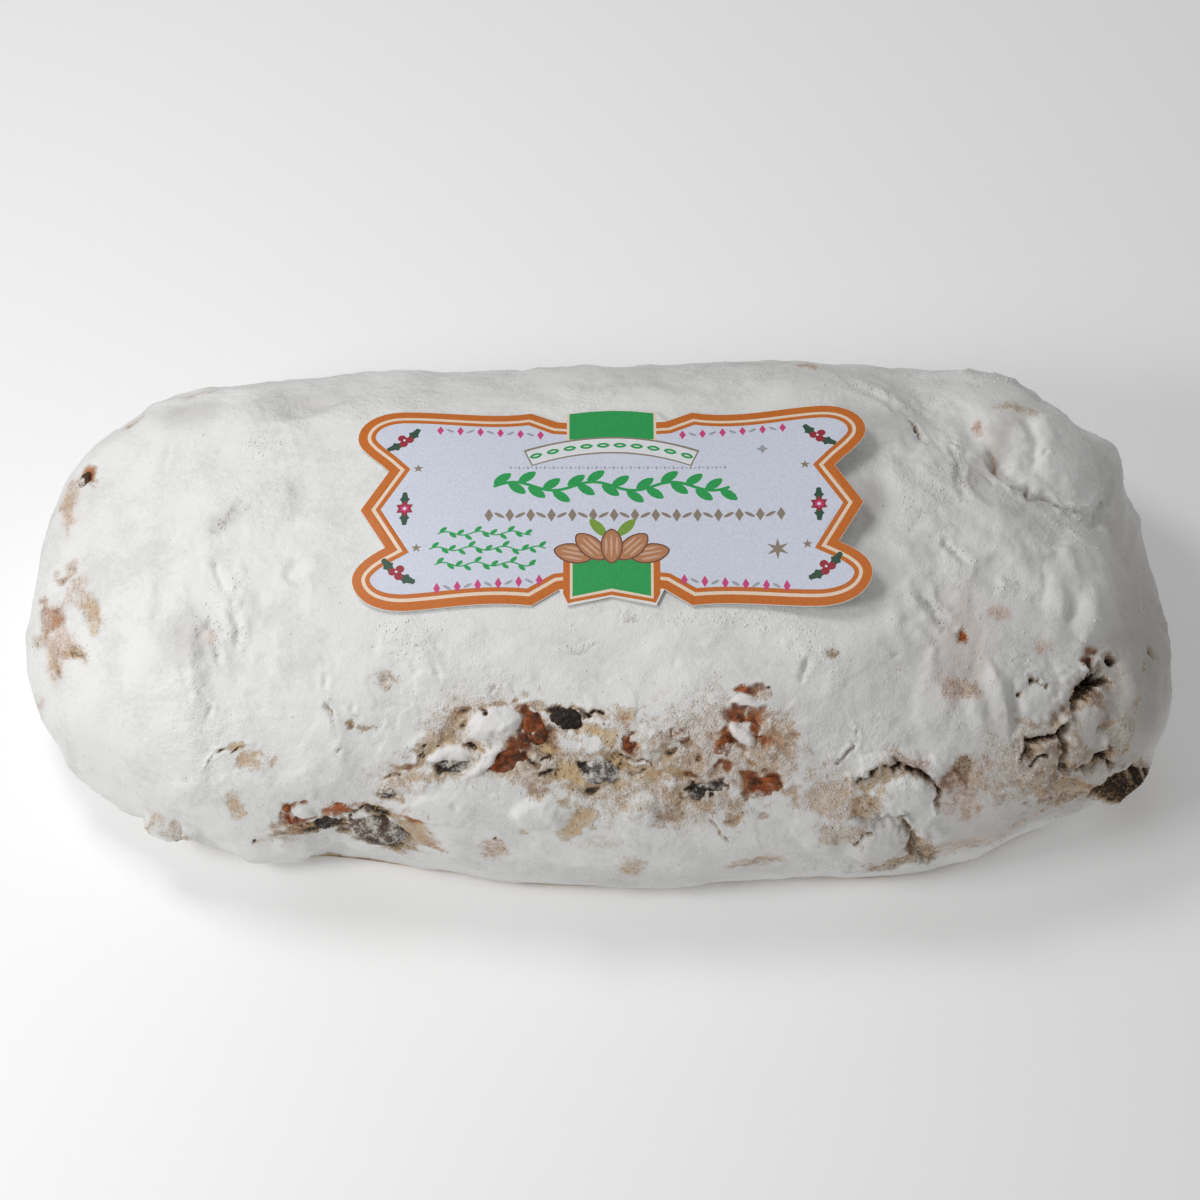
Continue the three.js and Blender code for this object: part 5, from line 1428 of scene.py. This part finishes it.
# two handles and the end of each curve, and its steps
UPPER_EAR = (((29, 26.4), (40, 29.8), (50, 29.8), 10), ((58.5, 29.8), (63, 22.5), (59.6, 17.4), 10),
             ((57.6, 14.4), (55, 12.6), (53, 10), 4))
LOWER_EAR = (((57, -14), (62.6, -17.6), (60.6, -22.6), 10), ((58.9, -27), (54, -28.9), (48, -28.7), 10),
             ((38, -28.2), (30, -26.4), (18.8, -27.6), 10))


def ear_side():
    """The card's right side, from the foot of its upper tab to that of its lower one."""
    points = [(13.0, 25.6), (19.3, 28.9)]
    for curve in UPPER_EAR:
        points += bezier(points[-1], *curve)
    points += [(59.5, -1.2), (53.4, -12)]
    for curve in LOWER_EAR:
        points += bezier(points[-1], *curve)
    return points + [(12.3, -23.6)]


def mirrored(half):
    """A closed outline from its right half, whose ends lie on the middle line or off it."""
    left = [(-x, y) for x, y in reversed(half) if abs(x) > 1e-6]
    return half + left


def tab_top(x, below=0.0):
    """A point on the upper tab's curved top, or so far below it."""
    return x, CARD_TOP - below - TAB_SAG * (x / TAB_HALF) ** 2


def card_outline():
    tab = [tab_top(x) for x in (0, 3.5, 7.0, TAB_HALF)]
    tail = [(10.4, -27.6), (0, -25.4)]
    return mirrored(tab + ear_side() + tail)


def inset(points, distance):
    """The outline moved inwards, its corners mitred. It runs clockwise."""
    moved = []
    count = len(points)
    for index in range(count):
        before, here, after = (Vector(points[(index + k) % count]) for k in (-1, 0, 1))
        first = (here - before).normalized()
        second = (after - here).normalized()
        inner = Vector((first.y, -first.x)) + Vector((second.y, -second.x))
        inner.normalize()
        half_turn = max(inner.dot(Vector((first.y, -first.x))), 0.35)
        moved.append(tuple(here + inner * (distance / half_turn)))
    return moved


def round_shape(centre, length, height, spin, steps, share):
    """A closed outline; share gives how much of the oval's height it has at a step and angle."""
    points = []
    c, s = math.cos(math.radians(spin)), math.sin(math.radians(spin))
    for step in range(steps):
        angle = 2 * math.pi * step / steps
        u = length / 2 * math.cos(angle)
        v = height / 2 * math.sin(angle) * share(step, angle)
        points.append((centre[0] + c * u - s * v, centre[1] + s * u + c * v))
    return points


def ellipse(centre, length, height, spin=0.0, steps=14, pointed=0.0):
    """A closed oval. pointed draws its two ends out, for leaves and almonds."""
    return round_shape(
        centre, length, height, spin, steps, lambda step, angle: abs(math.sin(angle)) ** pointed
    )


def holly_leaf(centre, length, height, spin):
    """A leaf with three pairs of spines."""
    def share(step, angle):
        spine = 1.0 if step % 4 == 2 else 0.62
        return spine if abs(math.cos(angle)) < 0.93 else 0.5

    return round_shape(centre, length, height, spin, 24, share)


def star(centre, radius, points=5, waist=0.42):
    shape = []
    for step in range(2 * points):
        angle = math.radians(90.0 + 180 * step / points)
        reach = radius if step % 2 == 0 else radius * waist
        shape.append((centre[0] + reach * math.cos(angle), centre[1] + reach * math.sin(angle)))
    return shape


def bar(low, high):
    return [(low[0], low[1]), (high[0], low[1]), (high[0], high[1]), (low[0], high[1])]


def ribbon(centre_line, width):
    """A band of the width given along a line of points."""
    upper, lower = [], []
    for index, point in enumerate(centre_line):
        before = Vector(centre_line[max(index - 1, 0)])
        after = Vector(centre_line[min(index + 1, len(centre_line) - 1)])
        run = (after - before).normalized()
        side = Vector((-run.y, run.x)) * width / 2
        upper.append(tuple(Vector(point) + side))
        lower.append(tuple(Vector(point) - side))
    return upper + lower[::-1]


def sprig(centre, spin, size=1.0):
    """Two holly leaves and three berries."""
    shapes = []
    for side in (-1, 1):
        angle = math.radians(spin)
        shift = Vector((math.cos(angle), math.sin(angle))) * 2.5 * side * size
        leaf_centre = (centre[0] + shift.x, centre[1] + shift.y)
        shapes.append(("leaf", holly_leaf(leaf_centre, 4.4 * size, 2.6 * size, spin + 16 * side)))
    for turn in (90, 210, 330):
        angle = math.radians(turn + spin)
        berry = (centre[0] + 1.0 * size * math.cos(angle), centre[1] + 1.0 * size * math.sin(angle))
        shapes.append(("berry", ellipse(berry, 1.9 * size, 1.9 * size, steps=12)))
    shapes.append(("white", ellipse((centre[0] - 0.2, centre[1] + 0.2), 0.6 * size, 0.6 * size, steps=8)))
    return shapes


def flower(centre, size):
    """Six crimson petals round a pale eye, between two dark leaves."""
    x, y = centre
    shapes = []
    for side in (-1, 1):
        shapes.append(("leaf", holly_leaf((x, y + side * size * 1.15), 1.9 * size, 1.1 * size, 90)))
    shapes.append(("berry", star(centre, size, 6, 0.62)))
    shapes.append(("pink", star(centre, size * 0.55, 6, 0.6)))
    shapes.append(("white", ellipse(centre, size * 0.36, size * 0.36, steps=8)))
    return shapes


def garland(start, end, height, leaves):
    """A waving green stem with leaves to both sides."""
    stem = []
    steps = 48
    for step in range(steps + 1):
        t = step / steps
        x = start[0] + (end[0] - start[0]) * t
        waves = (end[0] - start[0]) / (2.7 * height)
        y = start[1] + (end[1] - start[1]) * t + height * 0.18 * math.sin(2 * math.pi * waves * t)
        stem.append((x, y))
    shapes = [("green", ribbon(stem, height * 0.12))]
    for leaf in range(leaves):
        t = (leaf + 0.5) / leaves
        x, y = stem[round(t * steps)]
        side = 1 if leaf % 2 == 0 else -1
        centre = (x + 0.13 * height, y + side * height * 0.26)
        shapes.append(("green", ellipse(centre, height * 0.74, height * 0.36, 38 * side, 12, 0.4)))
    return shapes


def diamond_row(start, end, count, size, ink, other_ink):
    """Diamonds with a short dash between each two."""
    shapes = []
    step = ((end[0] - start[0]) / (count - 1), (end[1] - start[1]) / (count - 1))
    for index in range(count):
        t = index / (count - 1)
        centre = (start[0] + (end[0] - start[0]) * t, start[1] + (end[1] - start[1]) * t)
        shapes.append((ink, star(centre, size, 2, 0.55)))
        if index < count - 1:
            middle = (centre[0] + step[0] / 2, centre[1] + step[1] / 2)
            spin = 30 if index % 2 else -30
            shapes.append((other_ink, ellipse(middle, size * 1.5, size * 0.5, spin, 8)))
    return shapes


# across and up from the fan's centre, and spin
ALMONDS = ((-9.0, 1.0, -12), (9.0, 1.0, 12), (-5.0, 2.8, -46), (5.0, 2.8, 46), (0.0, 3.0, 90))


def almonds(centre):
    """Five almonds fanned out under two leaves."""
    x, y = centre
    shapes = [
        ("fresh_leaf", ellipse((x - 3.2, y + 8.0), 6.4, 2.6, 128, 16, 0.4)),
        ("fresh_leaf", ellipse((x + 3.4, y + 8.0), 6.4, 2.6, 48, 16, 0.4)),
    ]
    for shift, lift, spin in ALMONDS:
        nut = (x + shift, y + lift)
        shapes.append(("nut_dark", ellipse(nut, 9.6, 5.4, spin, 18, 0.25)))
        shapes.append(("nut", ellipse(nut, 8.8, 4.6, spin, 18, 0.25)))
        c, s = math.cos(math.radians(spin)), math.sin(math.radians(spin))
        for across in (-1.2, 0.1, 1.3):
            stripe = (nut[0] - s * across, nut[1] + c * across)
            shapes.append(("nut_pale", ellipse(stripe, 6.6 - 1.4 * abs(across), 0.62, spin, 10, 0.4)))
    return shapes


def tab_print():
    """The green tabs above and below, each with a cream line and the lower with orange posts."""
    top = [tab_top(x, 0.5) for x in (-10.1, -5.0, 0.0, 5.0, 10.1)]
    posts = [
        ("orange", [(9.4 * side, -14.2), (11.4 * side, -14.2), (11.4 * side, -24.6), (10.3 * side, -27.0),
                    (9.4 * side, -26.8)])
        for side in (-1, 1)
    ]
    foot = [(-10.2, -26.9), (0, -25.0), (10.2, -26.9), (10.2, -24.8), (0, -22.9), (-10.2, -24.8)]
    return [
        ("cream", bar((-10.7, 18.9), (10.7, 28.9))),
        ("green", top + [(10.1, 19.5), (-10.1, 19.5)]),
        *posts,
        ("orange", foot),
        ("cream", [(-9.8, -14.2), (9.8, -14.2), (9.8, -26.0), (0, -24.1), (-9.8, -26.0)]),
        ("green", [(-9.2, -14.2), (9.2, -14.2), (9.2, -25.3), (0, -23.4), (-9.2, -25.3)]),
    ]


def plate_print():
    """The arched plate with a leaf and a vein in each second of its steps."""
    arch = [(x, 17.6 - 4.2 * (x / 20.0) ** 2) for x in np.linspace(-20.0, 20.0, 21)]
    shapes = [("taupe", ribbon(arch, 5.4)), ("white", ribbon([(x * 0.98, y) for x, y in arch], 4.4))]
    for x, y in arch[1:20:2]:
        shapes.append(("green", ellipse((x, y), 3.2, 1.7, -24 * x / 20.0, 12, 0.4)))
        shapes.append(("white", ellipse((x, y), 1.6, 0.4, -24 * x / 20.0, 8, 0.2)))
    return shapes


def middle_print():
    """Rows of diamonds and garlands, and the almonds."""
    shapes = diamond_row((-24.0, 10.4), (27.0, 10.4), 26, 0.6, "grey", "grey")
    shapes += garland((-28.0, 4.8), (28.0, 4.8), 7.0, 20)
    shapes += diamond_row((-29.0, -3.6), (40.0, -3.6), 15, 1.9, "taupe", "taupe")
    for line, (left, right) in enumerate(((-41.0, -19.0), (-43.0, -15.5), (-41.6, -18.0))):
        shapes += garland((left, -8.6 - 4.2 * line), (right, -8.6 - 4.2 * line), 2.9, 11 + 2 * (line == 1))
    return shapes + almonds((0.0, -15.2))


def corner_print():
    """A sprig in each corner, and a flower, stars and diamonds at each side."""
    shapes = []
    for x, y, spin in ((-49.4, 19.6, 42), (49.4, 19.6, -42), (-50.4, -18.8, -40), (50.4, -18.8, 40)):
        shapes += sprig((x, y), spin, 1.1)
    for side in (-1, 1):
        shapes += flower((49.0 * side, -1.2), 2.3)
        shapes += [("taupe", star((46.0 * side, height), 1.3)) for height in (10.6, -12.4)]
        shapes += diamond_row((17.0 * side, 21.0), (41.0 * side, 22.8), 6, 1.5, "pink", "grey")
        shapes += diamond_row((17.0 * side, -21.2), (41.0 * side, -23.2), 6, 1.5, "pink", "grey")
    shapes.append(("taupe", star((39.0, -13.4), 2.9, 6, 0.35)))
    shapes.append(("grey", star((36.0, 16.0), 1.5, 4, 0.5)))
    return shapes


def card_print(outline):
    """Every printed field as (ink, outline), each lying over those before it."""
    guide = mirrored([(0.0, 24.4)] + ear_side() + [(0.0, -22.4)])
    fields = [("paper", outline)] + [(ink, inset(guide, depth)) for ink, depth in BORDERS]
    return fields + tab_print() + plate_print() + middle_print() + corner_print()


def inside_polygon(points, polygon):
    """True for each point that lies inside the closed polygon."""
    inside = np.zeros(len(points), bool)
    x, y = points[:, 0], points[:, 1]
    for (x1, y1), (x2, y2) in zip(polygon, polygon[1:] + polygon[:1]):
        if y1 == y2:
            continue
        crosses = (y1 > y) != (y2 > y)
        inside ^= crosses & (x < (x2 - x1) * (y - y1) / (y2 - y1) + x1)
    return inside


def cut_card():
    """Flat triangles of the card, each with the ink of the top field that it lies in."""
    outline = card_outline()
    fields = card_print(outline)
    points, edges = [], []
    for _, shape in fields:
        first = len(points)
        points += [Vector(p) for p in shape]
        edges += [(first + k, first + (k + 1) % len(shape)) for k in range(len(shape))]
    grid = [
        (x, y)
        for x in np.arange(-GRID_HALF[0], GRID_HALF[0] + 0.1, CARD_GRID)
        for y in np.arange(-GRID_HALF[1], GRID_HALF[1] + 0.1, CARD_GRID)
    ]
    kept = inside_polygon(np.array(grid), inset(outline, GRID_MARGIN))
    points += [Vector(p) for p, keep in zip(grid, kept) if keep]
    verts, _, faces, _, _, _ = delaunay_2d_cdt(points, edges, [], 0, 1e-4)
    flat = np.array([tuple(v) for v in verts])
    faces = np.array([f for f in faces if len(f) == 3])
    centres = flat[faces].mean(axis=1)
    inks = np.full(len(faces), -1)
    names = list(INKS)
    for ink, shape in fields:
        chosen = inside_polygon(centres, shape)
        inks[chosen] = names.index(ink)
    in_card = inside_polygon(centres, outline)
    return flat, faces[in_card], inks[in_card]


def card_height(flat):
    """Height of the card's underside: it follows the crest and curls off it to the right."""
    heights = []
    for u, v in flat:
        start = Vector((core[0] + CARD_CENTRE[0] + u, core[1] + CARD_CENTRE[1] + v, OVER_CARD))
        hit = bare_tree.ray_cast(start, Vector((0, 0, -1)))[0]
        heights.append(hit.z)
    past = np.maximum(flat[:, 0] - CARD_CURL_START, 0.0) / (CARD_HALF_LENGTH - CARD_CURL_START)
    ears = smooth_step(14.0, 30.0, np.abs(flat[:, 1] - 1.0))
    left_ear = smooth_step(-40.0, -61.0, flat[:, 0]) * ears
    ripple = RIPPLE * np.sin(flat[:, 0] / 7.5) * smooth_step(6.0, 28.0, np.abs(flat[:, 1]))
    return np.array(heights) + CARD_GAP + CARD_CURL * past ** 2 + EAR_RISE * left_ear + ripple + RIPPLE


def card_walls(faces, count):
    """Quads between the two sides, along the edges that only one triangle has."""
    edges = dict.fromkeys(edge for a, b, c in faces for edge in ((a, b), (b, c), (c, a)))
    return [(b, b + count, a + count, a) for a, b in edges if (b, a) not in edges]


def finish_card(mesh):
    """Drops the points that no face uses, and points every face outwards."""
    bm = bmesh.new()
    bm.from_mesh(mesh)
    loose = [v for v in bm.verts if not v.link_faces]
    bmesh.ops.delete(bm, geom=loose, context="VERTS")
    bmesh.ops.recalc_face_normals(bm, faces=bm.faces)
    bm.to_mesh(mesh)
    bm.free()


def make_card():
    flat, faces, inks = cut_card()
    count = len(flat)
    flat_place = flat + core[:2] + CARD_CENTRE
    lower = np.column_stack([flat_place, card_height(flat)])
    upper = lower + np.array([0.0, 0.0, CARD_THICKNESS])
    top = [(a + count, b + count, c + count) for a, b, c in faces]
    bottom = [(c, b, a) for a, b, c in faces]
    walls = card_walls(faces, count)
    mesh = bpy.data.meshes.new("card")
    mesh.from_pydata((np.concatenate([lower, upper]) * MM).tolist(), [], top + bottom + walls)
    names = list(INKS)
    slots = list(inks) + [names.index("paper")] * (len(bottom) + len(walls))
    materials = [make_card_material(name, INKS[name]) for name in names]
    finish_piece(mesh, "printed_card", materials, "label_card", "label")
    mesh.polygons.foreach_set("material_index", slots)
    finish_card(mesh)
    mesh.polygons.foreach_set("use_smooth", [False] * len(mesh.polygons))


# ---- Loose clots of sugar and crumbs of crust ----

CLOTS_PER_M2 = 1.3e6
CLOT_SIZES = (0.0001, 0.00038)  # least and greatest radius in metres
CRUMBS_PER_M2 = 2.1e6
CRUMB_SIZES = (0.0001, 0.00022)
GRAIN_STRETCH = ((0.6, 0.6, 0.45), (1.3, 1.3, 1.0))  # least and greatest, along each axis
FULL_TURN = 6.283  # radians
GRAINS_FROM = 2.0  # mm over the floor


def grain_size(tree, given):
    """Each grain's size along its three axes, between the least and the greatest."""
    size = add_node(tree, "FunctionNodeRandomValue", data_type="FLOAT")
    feed(tree, size, Seed=given.outputs["Seed"])
    join(tree, given.outputs["Least Size"], size.inputs[2])
    join(tree, given.outputs["Greatest Size"], size.inputs[3])
    stretch = add_node(tree, "FunctionNodeRandomValue", data_type="FLOAT_VECTOR")
    join(tree, GRAIN_STRETCH[0], stretch.inputs[0])
    join(tree, GRAIN_STRETCH[1], stretch.inputs[1])
    feed(tree, stretch, Seed=7)
    scale = add_node(tree, "ShaderNodeVectorMath", operation="SCALE")
    join(tree, stretch.outputs[0], scale.inputs[0])
    feed(tree, scale, Scale=size.outputs[1])
    return scale.outputs[0]


def scatter_tree(name, material):
    """Geometry nodes: grains on the faces where the mesh's grain value is high."""
    tree, given, result = new_group(
        "GeometryNodeTree", name,
        [("Geometry", "Geometry"), ("Grains per m2", "Float", 1e6), ("Least Size", "Float", 0.0002),
         ("Greatest Size", "Float", 0.0006), ("Seed", "Int", 1)],
        [("Geometry", "Geometry")],
    )
    where = add_node(tree, "GeometryNodeInputNamedAttribute", data_type="FLOAT")
    feed(tree, where, Name="grain")
    density = times(tree, where.outputs["Attribute"], given.outputs["Grains per m2"])
    points = add_node(tree, "GeometryNodeDistributePointsOnFaces", distribute_method="RANDOM")
    feed(tree, points, Mesh=given.outputs["Geometry"], Density=density, Seed=given.outputs["Seed"])
    grain = add_node(tree, "GeometryNodeMeshIcoSphere")
    feed(tree, grain, Radius=1.0, Subdivisions=1)
    turn = add_node(tree, "FunctionNodeRandomValue", data_type="FLOAT_VECTOR")
    join(tree, (FULL_TURN, FULL_TURN, FULL_TURN), turn.inputs[1])
    feed(tree, turn, Seed=3)
    placed = add_node(tree, "GeometryNodeInstanceOnPoints")
    feed(tree, placed, Points=points.outputs["Points"], Instance=grain.outputs["Mesh"])
    feed(tree, placed, Rotation=turn.outputs[0], Scale=grain_size(tree, given))
    real = add_node(tree, "GeometryNodeRealizeInstances")
    feed(tree, real, Geometry=placed.outputs["Instances"])
    dressed = add_node(tree, "GeometryNodeSetMaterial")
    feed(tree, dressed, Geometry=real.outputs["Geometry"], Material=material)
    feed(tree, result, Geometry=dressed.outputs["Geometry"])
    return tree


def scatter(ground, grain_values, name, material, density, sizes, seed):
    """Grains of one kind on a copy of the ground mesh, as one plain mesh piece."""
    mesh = ground.copy()
    store(mesh, "grain", grain_values)
    values = {"Grains per m2": density, "Least Size": sizes[0], "Greatest Size": sizes[1], "Seed": seed}

    def set_inputs(modifier):
        modifier.node_group = scatter_tree(name + "_scatter", material)
        for item in modifier.node_group.interface.items_tree:
            if item.in_out == "INPUT" and item.name in values:
                modifier[item.identifier] = values[item.name]

    grains = modified(mesh, name, "NODES", set_inputs)
    finish_piece(grains, name, [material], "icing_sugar")


def grain_places(mesh):
    """Where sugar clots and where crumbs of crust lie on the coat."""
    values = {}
    for name in ("bare", "burnt", "crumbly"):
        read = np.empty(len(mesh.vertices), np.float32)
        mesh.attributes[name].data.foreach_get("value", read)
        values[name] = read
    points = vectors(mesh.vertices, "co") / MM
    x, y, _ = (points - core).T
    edge = bell(values["bare"] - 0.42, 0.2)
    drifts = smooth_step(0.1, 0.5, uneven(points, 9.0, 2, seed=9))
    clots = 0.003 + 0.5 * edge + 0.8 * values["crumbly"] + 0.05 * drifts * smooth_step(60.0, 95.0, x)
    crumbs = smooth_step(0.2, 0.7, values["bare"]) * smooth_step(0.25, 0.8, values["burnt"])
    on_skin = points[:, 2] > GRAINS_FROM
    pressed = np.abs(x - CARD_CENTRE[0]) < PRESSED_HALF[0]
    pressed &= np.abs(y - CARD_CENTRE[1]) < PRESSED_HALF[1]
    shown = on_skin & ~pressed
    return shown * np.clip(clots, 0, 1), shown * np.clip(crumbs, 0, 1)


# ---- Camera, light and floor ----

VIEW_HEIGHT = 56.0  # degrees over the horizon
VIEW_DISTANCE = 1.100  # metres
VIEW_LENS = 135.8
VIEW_SENSOR = 36.0
VIEW_END = 20.0  # metres
VIEW_AIM = (0.44, -1.87, 33.7)  # mm from the core line's middle on the floor
# name: distance in metres, bearing from the front by the right, height in degrees, size, watts
LAMPS = {
    "front left": (0.55, 300.0, 40.0, 0.16, 0.96),
    "back left": (0.55, 240.0, 60.0, 0.18, 0.83),
}
SKY = 0.34
LAMPS_AIM = (0, 0, 0.03)  # metres
WHITE = (1.0, 1.0, 1.0)
FLOOR_HALF = 6.0  # metres
FLOOR_DARKER = (0.90, 0.90, 0.90)
FLOOR_PALER = (0.93, 0.93, 0.93)


def aim(thing, start, target):
    thing.location = start
    direction = Vector(target) - Vector(start)
    thing.rotation_euler = direction.to_track_quat("-Z", "Y").to_euler()
    bpy.context.scene.collection.objects.link(thing)
    return thing


def add_camera():
    data = bpy.data.cameras.new("camera")
    data.lens = VIEW_LENS
    data.sensor_width = VIEW_SENSOR
    data.clip_end = VIEW_END
    target = Vector((core[0] + VIEW_AIM[0], core[1] + VIEW_AIM[1], VIEW_AIM[2])) * MM
    tilt = math.radians(VIEW_HEIGHT)
    start = target + Vector((0, -math.cos(tilt), math.sin(tilt))) * VIEW_DISTANCE
    camera = bpy.data.objects.new("camera", data)
    aim(camera, start, target)
    bpy.context.scene.camera = camera


def add_lamp(name, distance, bearing, height, size, watts):
    turn, rise = math.radians(bearing), math.radians(height)
    way = Vector((math.sin(turn) * math.cos(rise), -math.cos(turn) * math.cos(rise), math.sin(rise)))
    middle = Vector(LAMPS_AIM)
    data = bpy.data.lights.new(name, "AREA")
    data.size = size
    data.energy = watts
    aim(bpy.data.objects.new(name, data), middle + way * distance, middle)


def add_light():
    for name, settings in LAMPS.items():
        add_lamp(name, *settings)
    world = bpy.data.worlds.new("studio")
    world.use_nodes = True
    feed(world.node_tree, world.node_tree.nodes["Background"], Color=WHITE, Strength=SKY)
    bpy.context.scene.world = world
    bpy.context.scene.view_settings.view_transform = "Standard"


def add_floor():
    mesh = bpy.data.meshes.new("floor")
    corners = [(x * FLOOR_HALF, y * FLOOR_HALF, 0) for x, y in ((-1, -1), (1, -1), (1, 1), (-1, 1))]
    mesh.from_pydata(corners, [], [(0, 1, 2, 3)])
    material, tree, shader = new_material("pale_floor")
    tone = blend_colour(tree, pattern(tree, "floor"), FLOOR_DARKER, FLOOR_PALER)
    feed(tree, shader, Base_Color=tone, Roughness=0.9, Emission_Color=WHITE, Emission_Strength=0.1)
    mesh.materials.append(material)
    floor = bpy.data.objects.new("floor", mesh)
    bpy.context.scene.collection.objects.link(floor)


# ---- Putting it together ----

def main():
    add_camera()
    add_light()
    add_floor()
    dust = make_dust_group()
    coat_material = make_coat_material(dust)
    raisin_flesh = make_fruit_material("raisin_skin", dust, RAISIN_DARK, RAISIN_WARM, 0.6, 0.04)
    peel_flesh = make_fruit_material("candied_peel", dust, PEEL_DEEP, PEEL_BRIGHT, 0.5, 0.0)
    coat_mesh = make_sugar_coat()
    finish_piece(coat_mesh, "sugar_coat", [coat_material], "icing_sugar", "loaf")
    for index, name in enumerate(FRUIT):
        if name.startswith("raisin"):
            flesh, slot, usual = raisin_flesh, "raisin", USUAL_RAISIN
        else:
            flesh, slot, usual = peel_flesh, "candied_peel", USUAL_PEEL
        make_fruit(name, flesh, slot, OWN_SETTINGS.get(name, usual), FRUIT_SEED + 3 * index)
    make_card()
    clots, crumbs = grain_places(coat_mesh)
    scatter(coat_mesh, clots, "sugar_clots", coat_material, CLOTS_PER_M2, CLOT_SIZES, 5)
    scatter(coat_mesh, crumbs, "crust_crumbs", make_crumb_material(), CRUMBS_PER_M2, CRUMB_SIZES, 6)


main()
